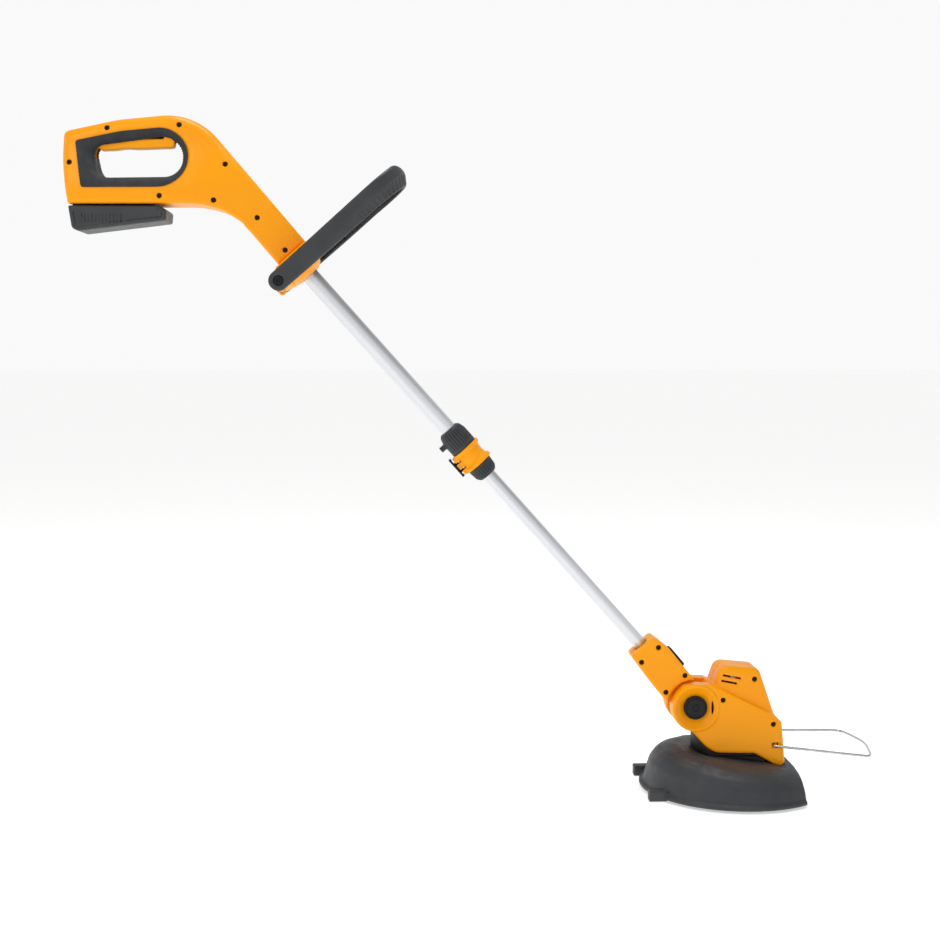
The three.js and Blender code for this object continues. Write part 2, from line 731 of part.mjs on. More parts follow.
function spoolHead() {
  const cz = GUARD_CENTRE[2];
  const spin = (profile, sides) => {
    const points = profile.map(([r, z]) => new THREE.Vector2(r, z));
    points.push(points[0].clone());
    const g = new THREE.LatheGeometry(points, sides).rotateX(Math.PI / 2);
    return solid(g.translate(AXIS_XY[0], 0, cz));
  };
  put("motor_spindle", rod("z", cz + 16.5, -770.3, AXIS_XY, 2.5, 2.5, 16), "steel");
  const inside = SPOOL_R - CUP_WALL;
  const cup = spin(
    [
      [8.5, 10.5],
      [SPOOL_R, 10.5],
      [SPOOL_R, 28.5],
      [inside, 28.5],
      [inside, 10.5 + CUP_WALL],
      [8.5, 10.5 + CUP_WALL],
    ],
    28,
  );
  const exits = box(AXIS_XY[0] - 60, AXIS_XY[0] - 30, -2.5, 2.5, cz + 16.5, cz + 22.5);
  put("spool_housing", cut(cup, exits), "black");
  const spool = spin(
    [
      [8, 13.2],
      [SPOOL_R - 5, 13.2],
      [SPOOL_R - 5, 15],
      [20, 15],
      [20, 25],
      [SPOOL_R - 5, 25],
      [SPOOL_R - 5, 27],
      [2.9, 27],
      [2.9, 25],
      [8, 25],
    ],
    28,
  );
  put("spool", spool, "dark");
  const wound = SPOOL_R - 8;
  const coil = spin(
    [
      [20.5, 15.5],
      [wound, 15.5],
      [wound, 24.5],
      [20.5, 24.5],
    ],
    24,
  );
  const tail = rod("x", AXIS_XY[0] - 100, AXIS_XY[0] - 31, [0, cz + 19.5], 0.8, 0.8, 8);
  put("cutting_line", join(coil, tail), "line");
  const stem = rod("z", cz + 5, cz + 10.8, AXIS_XY, 7.5, 7.5, 20);
  const knob = rod("z", cz + 1, cz + 6, AXIS_XY, 17, 20, 24);
  put("bump_knob", join(stem, knob), "black");
  const spring = [
    [4.2, 11.2],
    [6.5, 11.2],
    [6.5, 24.6],
    [4.2, 24.6],
  ];
  put("spool_spring", spin(spring, 16), "steel");
}

function wireGuard() {
  const [hx, hz] = WIRE_HOLE;
  const y0 = HEAD_HALF + WIRE_R + 1.6;
  const near = [
    [hx, -HEAD_HALF + 10, hz],
    [hx, -y0 + 3, hz],
    [hx + 1, -y0 + 0.6, hz],
    [hx + 4, -y0 - 0.5, hz - 0.2],
    [hx + 50, -y0 - 10.5, hz - 3.8],
    [hx + 108, -y0 - 23, hz - 8],
    [hx + 117, -y0 - 23.5, hz - 8.7],
    [hx + 121.5, -y0 - 18, hz - 8.8],
    [hx + 128, -32, hz - 8.5],
  ];
  const far = near.map(([x, y, z]) => [x, -y, z]).reverse();
  const points = [...near, [hx + 132, 0, hz - 8.3], ...far].map((p) => new THREE.Vector3(...p));
  const path = new THREE.CatmullRomCurve3(points, false, "centripetal");
  const section = new THREE.Shape();
  section.absarc(0, 0, WIRE_R, 0, Math.PI * 2);
  const g = new THREE.ExtrudeGeometry(section, { steps: 64, curveSegments: 4, extrudePath: path });
  put("wire_guard", solid(g), "steel");
}

rearShells();
gripLinings();
triggerGroup();
REAR_SCREWS.forEach(([x, z], i) => {
  put(`rear_screw_${i + 1}`, screw(x, z, 2 - rearHalf(x, z), 9), "black");
});
battery();
frontHandle();
tubesAndCoupler();
neck();
motorShells();
guard();
spoolHead();
wireGuard();

export default root;
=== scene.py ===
"""Looks of the cordless string trimmer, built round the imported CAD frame.

Lengths are millimetres until a mesh is made. +X is forward, +Y the operator's left and +Z up, from an
origin in the middle of the rear grip's top bar. Most pieces are distance fields, negative inside: of x, y, z,
or for parts on the shaft of s along it, y, and n at right angles. surface_nets turns a field into a mesh.
"""

import json
import math
from functools import reduce

import bpy
import numpy as np
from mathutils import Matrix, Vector


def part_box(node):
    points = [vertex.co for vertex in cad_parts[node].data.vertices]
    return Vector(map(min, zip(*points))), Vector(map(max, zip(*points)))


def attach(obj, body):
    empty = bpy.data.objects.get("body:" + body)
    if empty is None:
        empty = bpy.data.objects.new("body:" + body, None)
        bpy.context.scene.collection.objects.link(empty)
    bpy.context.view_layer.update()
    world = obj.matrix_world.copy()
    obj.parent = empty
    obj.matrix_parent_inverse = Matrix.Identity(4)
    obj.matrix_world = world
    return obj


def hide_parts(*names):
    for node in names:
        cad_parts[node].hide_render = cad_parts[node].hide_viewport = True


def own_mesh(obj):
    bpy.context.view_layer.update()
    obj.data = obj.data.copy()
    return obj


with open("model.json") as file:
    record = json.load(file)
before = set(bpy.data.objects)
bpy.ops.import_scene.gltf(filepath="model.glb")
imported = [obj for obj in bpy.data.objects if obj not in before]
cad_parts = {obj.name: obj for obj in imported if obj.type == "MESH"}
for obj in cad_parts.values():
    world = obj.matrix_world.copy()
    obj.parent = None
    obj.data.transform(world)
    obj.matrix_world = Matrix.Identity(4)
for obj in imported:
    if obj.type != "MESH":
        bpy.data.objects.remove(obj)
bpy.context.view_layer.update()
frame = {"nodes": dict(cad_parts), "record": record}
MM = 0.001
bpy.context.scene.view_settings.view_transform = "Standard"

# ---- driving places, in millimetres ----

SHAFT_PITCH = math.radians(48.31)
SHAFT_COS = math.cos(SHAFT_PITCH)
SHAFT_SIN = math.sin(SHAFT_PITCH)
COLLAR_POINT = np.array([218.35, -183.87])
PIVOT_S, PIVOT_N = 751.0, -1.6
GUARD_CENTRE = np.array([774.7, 0.0, -856.5])
COARSE = 1.0
SCREW_WELL_R = 3.35
SCREW_BORE_R = 2.4


def from_shaft(s, n):
    return (
        COLLAR_POINT[0] + s * SHAFT_COS + n * SHAFT_SIN, COLLAR_POINT[1] - s * SHAFT_SIN + n * SHAFT_COS,
    )


def shaft_to_frame(p):
    x, z = from_shaft(p[:, 0], p[:, 2])
    return np.column_stack([x, p[:, 1], z])


# ---- camera ----


def make_camera():
    azimuth, elevation = math.radians(-3.5), math.radians(4.8)
    back = Vector((
        math.sin(azimuth) * math.cos(elevation), -math.cos(azimuth) * math.cos(elevation),
        math.sin(elevation),
    ))
    data = bpy.data.cameras.new("camera")
    data.lens = 58.06
    data.sensor_width = 36.0
    data.clip_end = 50.0
    camera = bpy.data.objects.new("camera", data)
    bpy.context.scene.collection.objects.link(camera)
    camera.location = Vector((0.4226, 0, -0.4343)) + back * 1.9708
    camera.rotation_euler = back.to_track_quat("Z", "Y").to_euler()
    bpy.context.scene.camera = camera


make_camera()

# ---- distance fields ----


def rounded_outline(corners):
    """Corners (x, z, radius) as a list of points, with each corner turned into an arc."""
    points = []
    for i, (x, z, r) in enumerate(corners):
        here = np.array([x, z], float)
        before = np.array(corners[i - 1][:2], float) - here
        after = np.array(corners[(i + 1) % len(corners)][:2], float) - here
        before /= np.linalg.norm(before)
        after /= np.linalg.norm(after)
        if not r:
            points.append(here)
            continue
        half = math.acos(np.clip(before @ after, -1, 1)) / 2
        start = here + before * r / math.tan(half)
        middle = before + after
        centre = here + middle / np.linalg.norm(middle) * r / math.sin(half)
        a0 = math.atan2(*(start - centre)[::-1])
        turn = np.sign(after[0] * before[1] - after[1] * before[0]) * (math.pi - 2 * half)
        count = max(3, int(abs(turn) * math.sqrt(r) * 1.6))
        for k in range(count + 1):
            a = a0 + turn * k / count
            points.append(centre + r * np.array([math.cos(a), math.sin(a)]))
    return np.array(points)


def edges(points, x, z):
    """Each edge's ends, x from its start, the run to its nearest point and the square of the distance."""
    for a, b in zip(points, np.roll(points, -1, axis=0)):
        ex, ez = b - a
        px, pz = x - a[0], z - a[1]
        t = np.clip((px * ex + pz * ez) / max(ex * ex + ez * ez, 1e-9), 0, 1)
        yield a, b, px, t * math.hypot(ex, ez), (px - t * ex) ** 2 + (pz - t * ez) ** 2


def polygon(points, x, z):
    """Signed distance to a closed polygon, negative inside."""
    x, z = np.broadcast_arrays(x, z)
    best = np.full(x.shape, 1e9)
    inside = np.zeros(x.shape, bool)
    for a, b, px, _, far in edges(points, x, z):
        best = np.minimum(best, far)
        if a[1] != b[1]:
            crosses = (a[1] > z) != (b[1] > z)
            inside ^= crosses & (px < (z - a[1]) * (b[0] - a[0]) / (b[1] - a[1]))
    return np.sqrt(best) * np.where(inside, -1, 1)


def outline_field(corners):
    points = rounded_outline(corners)
    return lambda x, z: polygon(points, x, z)


def meet(a, b, r):
    """Where both solids are, with their shared edge rounded to radius r."""
    u, v = np.maximum(a + r, 0), np.maximum(b + r, 0)
    return np.sqrt(u * u + v * v) + np.minimum(np.maximum(a + r, b + r), 0) - r


def blend_join(a, b, r):
    h = np.maximum(r - np.abs(a - b), 0) / r
    return np.minimum(a, b) - h * h * r / 4


def carve(a, b, r=0.6):
    """a without b, with the new edge softened."""
    h = np.maximum(r - np.abs(a + b), 0) / r
    return np.maximum(a, -b) + h * h * r / 4


def common(*parts):
    """Where all the parts are."""
    return reduce(np.maximum, parts)


def either(*parts):
    return reduce(np.minimum, parts)


def rows(v, pitch, half):
    """Bars at every pitch of v, each half wide on both sides of its middle."""
    return np.abs(np.mod(v, pitch) - pitch / 2) - half


def from_axis(a, b, at):
    return np.hypot(a - at[0], b - at[1])


def smoothstep(t, a, b):
    k = np.clip((t - a) / (b - a), 0, 1)
    return k * k * (3 - 2 * k)


def screw_hole(d, across, y, side, flare, deep, end, soft):
    """d with a hole for a screw from the right: a flared well deep below the side, then the shank's bore."""
    mouth = across - SCREW_WELL_R - flare * smoothstep(y + side, 1.2, 0.0)
    d = carve(d, common(mouth, y + side - deep), soft)
    return carve(d, common(across - SCREW_BORE_R, y - end), 0.3)


def box_field(x, y, z, lo, hi, r=0.0):
    q = [np.abs(v - (a + b) / 2) - (b - a) / 2 + r for v, a, b in zip((x, y, z), lo, hi)]
    outside = np.sqrt(sum(np.maximum(c, 0) ** 2 for c in q))
    return outside + np.minimum(np.maximum(np.maximum(q[0], q[1]), q[2]), 0) - r


def surface_nets(field, lo, hi, step):
    """The zero level of field as quads: a vertex per crossed cell, then moved onto the level."""
    axes = [np.arange(a, b + step, step) for a, b in zip(lo, hi)]
    x, y, z = np.meshgrid(*axes, indexing="ij", sparse=True)
    value = np.broadcast_to(field(x, y, z), [len(a) for a in axes]).astype(np.float32)
    inside = value < 0
    cells = [n - 1 for n in value.shape]
    total = np.zeros(cells + [3], np.float32)
    count = np.zeros(cells, np.int16)
    crossings = []
    for axis in range(3):
        first = [slice(None)] * 3
        second = [slice(None)] * 3
        first[axis], second[axis] = slice(0, -1), slice(1, None)
        first, second = tuple(first), tuple(second)
        where = np.argwhere(inside[first] != inside[second])
        v0 = value[first][tuple(where.T)]
        v1 = value[second][tuple(where.T)]
        place = where.astype(np.float32)
        place[:, axis] += v0 / (v0 - v1)
        others = [k for k in range(3) if k != axis]
        keep = np.all((where[:, others] > 0) & (where[:, others] < np.array(cells)[others]), axis=1)
        crossings.append((axis, others, where[keep], inside[first][tuple(where[keep].T)]))
        for du in (0, 1):
            for dv in (0, 1):
                cell = where.copy()
                cell[:, others[0]] -= du
                cell[:, others[1]] -= dv
                ok = np.all((cell >= 0) & (cell < cells), axis=1)
                index = tuple(cell[ok].T)
                np.add.at(total, index, place[ok])
                np.add.at(count, index, 1)
    used = count > 0
    number = np.full(cells, -1, np.int64)
    number[used] = np.arange(used.sum())
    points = total[used] / count[used][:, None] * step + np.array(lo)
    faces = []
    for axis, others, where, solid_first in crossings:
        ring = []
        for du, dv in ((0, 0), (1, 0), (1, 1), (0, 1)):
            cell = where.copy()
            cell[:, others[0]] -= du
            cell[:, others[1]] -= dv
            ring.append(number[tuple(cell.T)])
        quads = np.column_stack(ring)
        flip = solid_first if axis == 1 else ~solid_first
        quads[flip] = quads[flip][:, ::-1]
        faces.append(quads)
    faces = np.vstack(faces)
    return settle(field, points, step), faces


def settle(field, points, step):
    reach = 0.3
    for _ in range(3):
        x, y, z = points.T
        value = field(x, y, z)
        slope = np.column_stack([
            field(x + reach, y, z) - field(x - reach, y, z),
            field(x, y + reach, z) - field(x, y - reach, z),
            field(x, y, z + reach) - field(x, y, z - reach),
        ]) / (2 * reach)
        size = np.maximum((slope**2).sum(1), 0.2)
        move = -(value / size)[:, None] * slope
        length = np.linalg.norm(move, axis=1)
        move *= np.minimum(1, 0.4 * step / np.maximum(length, 1e-9))[:, None]
        points = points + move
    return points


# ---- meshes ----


def make_object(name, points, faces, body, slot, replaced=(), angle=40, paint=None):
    """A piece that rides on body; its paint is the slot's own unless another is named."""
    mesh = bpy.data.meshes.new(name)
    mesh.from_pydata((np.asarray(points) * MM).tolist(), [], [list(map(int, f)) for f in faces])
    mesh.validate()
    mesh.materials.append(PAINT[paint or slot])
    obj = bpy.data.objects.new(name, mesh)
    bpy.context.scene.collection.objects.link(obj)
    mesh.shade_smooth()
    mesh.set_sharp_from_angle(angle=math.radians(angle))
    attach(obj, body)
    if replaced:
        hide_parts(*replaced)
    return obj


def moulded(name, field, lo, hi, step, body, slot, replaced, place=None, angle=50, paint=None):
    """A piece made from a field, meshed inside the box lo to hi and then moved by place."""
    points, faces = surface_nets(field, lo, hi, step * COARSE)
    if place:
        points = place(points)
    make_object(name, points, faces, body, slot, replaced, angle, paint)


def turned(name, profile, body, slot, replaced, sides=96):
    """A turned piece about the shaft's axis: profile is a closed list of (station, radius, fillet)."""
    rim = rounded_outline(profile)
    angles = np.linspace(0, 2 * math.pi, sides, endpoint=False)
    s, r = rim[:, 0], rim[:, 1]
    points = np.stack(
        [np.broadcast_to(s, (sides, len(s))), np.sin(angles)[:, None] * r, np.cos(angles)[:, None] * r],
        axis=2,
    ).reshape(-1, 3)
    n = len(rim)
    faces = []
    for i in range(sides):
        j = (i + 1) % sides
        for k in range(n):
            m = (k + 1) % n
            faces.append((i * n + k, i * n + m, j * n + m, j * n + k))
    if np.sum(s * np.roll(r, -1) - np.roll(s, -1) * r) > 0:
        faces = [f[::-1] for f in faces]
    make_object(name, shaft_to_frame(points), faces, body, slot, replaced)


SEAM_RADIUS = 1.1


def right_of(field, gap=0.15):
    """The part of a moulding on the right of the parting plane y = 0."""
    return lambda x, y, z: carve(field(x, y, z), -(y + gap), SEAM_RADIUS)


def left_of(field, gap=0.15):
    return lambda x, y, z: carve(field(x, y, z), y - gap, SEAM_RADIUS)


def both_halves(name, field, lo, hi, step, body, slot, left_field=None, place=None, reach=1.5):
    """Two moulded shells that meet on the parting plane; the node names end in _right and _left."""
    for side, clipped, y0, y1 in (
        ("_right", right_of(field), lo[1], reach), ("_left", left_of(left_field or field), -reach, hi[1]),
    ):
        low, high = (lo[0], y0, lo[2]), (hi[0], y1, hi[2])
        moulded(name + side + "_skin", clipped, low, high, step, body, slot, (name + side,), place)


# ---- materials ----


def linear(hex_colour):
    channels = [int(hex_colour[i : i + 2], 16) / 255 for i in (0, 2, 4)]
    return [c / 12.92 if c <= 0.04045 else ((c + 0.055) / 1.055) ** 2.4 for c in channels] + [1]


class Surface:
    """A material with its own small set of nodes: colour spread, roughness spread and fine relief."""

    def __init__(self, name, colour, roughness, metallic=0.0, coat=0.0, sheen=0.5):
        self.name = name
        self.material = bpy.data.materials.new(name)
        self.material.use_nodes = True
        self.tree = self.material.node_tree
        self.shader = self.tree.nodes["Principled BSDF"]
        self.shader.inputs["Base Color"].default_value = linear(colour)
        self.shader.inputs["Roughness"].default_value = roughness
        self.shader.inputs["Metallic"].default_value = metallic
        self.shader.inputs["Coat Weight"].default_value = coat
        self.shader.inputs["Coat Roughness"].default_value = 0.15
        self.shader.inputs["IOR"].default_value = 1.5
        self.shader.inputs["Specular IOR Level"].default_value = sheen
        self.material.diffuse_color = linear(colour)
        self.place = self.node("ShaderNodeTexCoord").outputs["Object"]

    def node(self, kind, **settings):
        made = self.tree.nodes.new(kind)
        for key, value in settings.items():
            setattr(made, key, value)
        return made

    def link(self, a, b):
        self.tree.links.new(a, b)

    def noise(self, scale, detail=3.0, stretch=(1, 1, 1), seed=0.0):
        mapping = self.node("ShaderNodeMapping")
        mapping.inputs["Location"].default_value = (seed, seed * 0.7, seed * 1.3)
        mapping.inputs["Scale"].default_value = stretch
        self.link(self.place, mapping.inputs["Vector"])
        noise = self.node("ShaderNodeTexNoise")
        noise.inputs["Scale"].default_value = scale
        noise.inputs["Detail"].default_value = detail
        self.link(mapping.outputs["Vector"], noise.inputs["Vector"])
        return noise.outputs["Fac"]

    def spread(self, source, low, high, at=(0.35, 0.65)):
        ramp = self.node("ShaderNodeMapRange")
        for key, value in zip(("From Min", "From Max", "To Min", "To Max"), (*at, low, high)):
            ramp.inputs[key].default_value = value
        self.link(source, ramp.inputs["Value"])
        return ramp.outputs["Result"]

    def roughness(self, source, low, high):
        self.link(self.spread(source, low, high), self.shader.inputs["Roughness"])

    def colour(self, source, low, high, at=(0.35, 0.65)):
        mix = self.node("ShaderNodeMix", data_type="RGBA")
        mix.inputs["A"].default_value = linear(low)
        mix.inputs["B"].default_value = linear(high)
        self.link(self.spread(source, 0, 1, at), mix.inputs["Factor"])
        self.link(mix.outputs["Result"], self.shader.inputs["Base Color"])

    def relief(self, source, height_mm, strength=1.0):
        bump = self.node("ShaderNodeBump")
        bump.inputs["Distance"].default_value = height_mm * MM
        bump.inputs["Strength"].default_value = strength
        self.link(source, bump.inputs["Height"])
        self.link(bump.outputs["Normal"], self.shader.inputs["Normal"])


def painted(name, colour, roughness, tones, gloss, grain, **options):
    """A Surface with a slow drift of tone, patches of gloss and a fine grain, each from its own noise.

    All three start with the noise's scale, detail and seed. Then come the darkest and lightest colour, the
    lowest and highest roughness, and the grain's height in mm and strength.
    """
    made = Surface(name, colour, roughness, **options)
    for apply, (scale, detail, seed, low, high) in (
        (made.colour, tones), (made.roughness, gloss), (made.relief, grain),
    ):
        apply(made.noise(scale, detail, seed=seed), low, high)
    return made


def make_tube_alloy():
    """Drawn aluminium: the grain runs along the shaft."""
    alloy = Surface("tube_aluminium", "DCDDE0", 0.3, metallic=1.0)
    turn = alloy.node("ShaderNodeMapping", vector_type="POINT")
    turn.inputs["Rotation"].default_value = (0, -SHAFT_PITCH, 0)
    alloy.link(alloy.place, turn.inputs["Vector"])
    alloy.place = turn.outputs["Vector"]
    grain = alloy.noise(5200, 3, stretch=(0.01, 1, 1), seed=2)
    alloy.colour(alloy.noise(20, 3, stretch=(0.1, 1, 1), seed=4), "D2D4D8", "DEDFE2")
    alloy.roughness(grain, 0.24, 0.36)
    alloy.relief(grain, 0.0012, 0.2)
    return alloy


def make_inner_surfaces():
    """The surfaces of the small parts that are inside or underneath."""
    brass = Surface("contact_brass", "C9A24A", 0.3, metallic=1.0)
    brass.roughness(brass.noise(500, 4, seed=2), 0.25, 0.4)
    brass.relief(brass.noise(1500, 3, seed=2), 0.01, 0.5)

    board = Surface("circuit_board", "14562C", 0.4)
    board.colour(board.noise(500, 2, stretch=(1, 1, 0.2), seed=5), "0E4A24", "1E6B38")
    board.roughness(board.noise(300, 3, seed=2), 0.3, 0.5)
    board.relief(board.noise(700, 2, seed=2), 0.05, 0.6)

    line = Surface("nylon_line", "DFE2DC", 0.35)
    line.colour(line.noise(300, 3, seed=5), "D8DCD2", "E8EAE6")
    line.roughness(line.noise(700, 3, seed=2), 0.28, 0.45)
    line.relief(line.noise(2600, 2, stretch=(0.1, 1, 1), seed=2), 0.02, 0.6)

    sheath = painted(
        "cable_sheath", "18181A", 0.6, (100, 3, 5, "151517", "1E1E20"), (600, 3, 2, 0.5, 0.7),
        (2200, 3, 2, 0.03, 0.6),
    )
    return [brass, board, line, sheath]


def make_materials():
    """Every material by its name, which is also the name of the slot that it fills."""
    yellow = painted(
        "yellow_plastic", "FBA100", 0.38, (9, 2, 3, "FA9E00", "FDA400"), (55, 4, 1, 0.33, 0.42),
        (1500, 2, 5, 0.006, 0.5), coat=0.05, sheen=0.2,
    )
    dark = painted(
        "dark_plastic", "2C2F32", 0.5, (30, 3, 2, "292C2F", "303336"), (90, 4, 7, 0.42, 0.54),
        (2200, 3, 4, 0.014, 0.6),
    )
    soft = painted(
        "soft_grip", "24262A", 0.75, (40, 3, 2, "212327", "282A2E"), (120, 4, 9, 0.66, 0.82),
        (2600, 4, 6, 0.016, 0.7),
    )
    soft.shader.inputs["Sheen Weight"].default_value = 0.12
    black = painted(
        "black_plastic", "0B0B0C", 0.5, (60, 3, 2, "0A0A0B", "0F0F10"), (150, 4, 3, 0.4, 0.55),
        (2400, 3, 8, 0.012, 0.6), sheen=0.3,
    )
    guard = painted(
        "guard_plastic", "35383C", 0.55, (24, 4, 6, "2B2E32", "323539"), (70, 5, 8, 0.46, 0.6),
        (1900, 3, 4, 0.016, 0.6),
    )
    steel = painted(
        "bright_steel", "BFC1C4", 0.25, (80, 4, 6, "B6B8BB", "CACCCF"), (400, 5, 2, 0.2, 0.36),
        (1800, 4, 4, 0.003, 0.4), metallic=1.0,
    )
    screw = painted(
        "screw_steel", "2A1C10", 0.45, (900, 3, 6, "24180E", "3A2816"), (1500, 4, 2, 0.35, 0.6),
        (3000, 3, 1, 0.02, 0.5), metallic=0.7,
    )
    made = [yellow, dark, soft, black, guard, steel, screw, make_tube_alloy(), *make_inner_surfaces()]
    return {surface.name: surface.material for surface in made}


PAINT = make_materials()

# ---- rear handle unit ----

WALL = 2.6
LINING = 1.6
FRONT_END = -35.0
TRIGGER_HALF = 9.0
SOCKET_R = 11.3

REAR_OUTLINE = [
    (-87.5, -5.5, 9), (-20, 9.5, 160), (76, 19.4, 80), (*from_shaft(FRONT_END, 24), 0),
    (*from_shaft(FRONT_END, -21), 0), (115, -96, 100), (-79.5, -97.5, 3), (-88.5, -40, 150),
]
OPENING = [(-49, -24.5, 12), (62, -9, 25), (60, -63, 22), (-44, -65, 17)]
PATCH = [(-71.5, -18, 4), (-15, -6, 150), (67, 2, 35), (68.5, -76, 38), (-62.5, -77.5, 4)]
REAR_SCREWS = [
    (-32.3, -1.9), (57, 2.5), (-78, -45.7), (33.5, -87), (100, -92), (114.3, -46.8), (153.2, -112.8),
    (187.8, -153.1),
]
LOCK_BUTTON = (75.0, -10.0)

rear_outline = outline_field(REAR_OUTLINE)
hand_opening = outline_field(OPENING)
patch_outline = outline_field(PATCH)


def rear_half(x, z):
    grip = 36 + (17 - 36) * smoothstep(z, -88, -6)
    return grip + (24 - grip) * smoothstep(x, 70, 165)


def shaft_place(x, z):
    dx, dz = x - COLLAR_POINT[0], z - COLLAR_POINT[1]
    return dx * SHAFT_COS - dz * SHAFT_SIN, dx * SHAFT_SIN + dz * SHAFT_COS


def rear_skin(x, y, z, planar):
    """Outer surface of the rear unit: round on the top bar, crisper over the battery."""
    s, n = shaft_place(x, z)
    edge = 4.5 + 8.5 * smoothstep(z, -92, -30)
    half = rear_half(x, z) - 0.25
    socket = smoothstep(s, -104, -97)
    half = half - 1.1 * (1 - socket) * smoothstep(x, 120, 150)
    planar = planar + 1.3 * (1 - socket) * smoothstep(s, -150, -120) * (n < 0)
    crown = 1.2 * np.minimum(1, np.maximum(0, -planar) / 26)
    return meet(planar, np.abs(y) - half - crown + 1.2, edge)


def trigger_slot(x, y, z):
    return box_field(x, y, z, (-52, -TRIGGER_HALF - 0.5, -40), (58, TRIGGER_HALF + 0.5, -4))


def rear_shell(x, y, z):
    planar = rear_outline(x, z)
    hole = hand_opening(x, z)
    skin = rear_skin(x, y, z, common(planar, -(hole - LINING - 0.2)))
    inner = skin + WALL
    bosses = np.minimum.reduce([np.hypot(x - a, z - b) - 4.6 for a, b in REAR_SCREWS])
    inner = carve(inner, bosses, 1.5)
    d = carve(skin, inner, 0.4)
    side = rear_half(x, z)
    for a, b in REAR_SCREWS:
        d = screw_hole(d, np.hypot(x - a, z - b), y, side, 0.5, 4.4, 9, 0.5)
    channel = box_field(x, y, z, (-120, -20.5, -120), (23, 20.5, -88), 0.5)
    s, n = shaft_place(x, z)
    bore = common(np.hypot(y, n) - SOCKET_R, -(s + 87))
    d = carve(carve(carve(d, trigger_slot(x, y, z), 0.5), channel, 0.6), bore, 0.5)
    mouth = np.hypot(y, n) - 12.6 + 0.8 * np.clip(FRONT_END - s, 0, 3)
    d = carve(d, common(mouth, -(s - FRONT_END + 2.0)), 0.4)
    groove = common(np.abs(z + 91.5) - 0.45, -(skin + 0.55), x - 66)
    return carve(d, groove, 0.4)


def rear_shell_with_button(x, y, z):
    button = common(from_axis(x, z, LOCK_BUTTON) - 6.5, -y)
    return carve(rear_shell(x, y, z), button, 0.7)


def grip_lining(x, y, z):
    hole = hand_opening(x, z)
    ribs = 0.45 + 0.45 * np.cos(opening_along(x, z) * 2 * math.pi / 3.4)
    wall = hole - ribs * smoothstep(np.abs(y), 27, 12)
    planar = common(rear_outline(x, z), -(hole - LINING - 0.2))
    skin = rear_skin(x, y, z, planar)
    over = rear_skin(x, y, z, common(rear_outline(x, z), -hole)) - LINING * 0.8
    sheet = meet(common(over, -(skin - 0.12)), patch_outline(x, z), 0.7)
    sleeve = common(hole - LINING, -wall, over)
    d = carve(either(sheet, sleeve), wall, 0.3)
    return carve(d, trigger_slot(x, y, z), 0.5)


def along_outline(corners):
    """Distance run along the outline at the nearest point of it."""
    points = rounded_outline(corners)

    def run(x, z):
        x, z = np.broadcast_arrays(x, z)
        best = np.full(x.shape, 1e9)
        at = np.zeros(x.shape)
        start = 0.0
        for a, b, _, along, far in edges(points, x, z):
            at = np.where(far < best, start + along, at)
            best = np.minimum(best, far)
            start += np.linalg.norm(b - a)
        return at

    return run


opening_along = along_outline(OPENING)

both_halves(
    "rear_shell", rear_shell, (-92, -39, -176), (215, 39, 24), 1.3, "handle_unit", "yellow_plastic",
    rear_shell_with_button,
)
both_halves("grip_lining", grip_lining, (-74, -38, -82), (72, 38, 6), 0.8, "handle_unit", "soft_grip")

trigger_side = outline_field([
    (-46, -14, 0), (-47.5, -24, 2), (-41, -29, 5), (50, -25, 4), (52, 0, 4), (40, 0, 4), (36, -14, 0),
])


def trigger(x, y, z):
    d = meet(trigger_side(x, z), np.abs(y) - TRIGGER_HALF + 0.2, 2.6)
    grip = np.hypot(x + 8, z + 62) - 35.5
    return carve(d, grip, 2.0)


moulded(
    "trigger_paddle", trigger, (-49, -10, -31), (54, 10, 2), 0.8, "trigger", "yellow_plastic", ("trigger",),
)


BUTTON_SIDE = rear_half(*LOCK_BUTTON)


def lock_button(x, y, z):
    across = from_axis(x, z, LOCK_BUTTON)
    d = meet(across - 6, np.abs(y - BUTTON_SIDE + 1.4) - 3.7, 0.8)
    dish = np.sqrt(across**2 + (y - BUTTON_SIDE - 13.6) ** 2) - 12
    d = carve(d, dish, 0.5)
    return carve(d, common(rows(across, 1.6, 0.25), across - 4.6, BUTTON_SIDE + 1.0 - y), 0.2)


moulded(
    "lock_off_pad", lock_button, (68, BUTTON_SIDE - 6, -17), (82, BUTTON_SIDE + 4, -3), 0.35,
    "lock_off_button", "black_plastic", ("lock_off_button",),
)

# ---- battery ----

BATTERY_TOP = -99.5
BATTERY_REAR = -79.0
BATTERY_FRONT = 42.0
BATTERY_HALF = 35.0

battery_side = outline_field([
    (BATTERY_REAR, BATTERY_TOP, 2), (BATTERY_FRONT - 8, BATTERY_TOP, 4),
    (BATTERY_FRONT, BATTERY_TOP - 5, 4), (BATTERY_FRONT - 1, BATTERY_TOP - 18, 3),
    (-67, BATTERY_TOP - 31.5, 6), (-75, BATTERY_TOP - 28, 6),
])


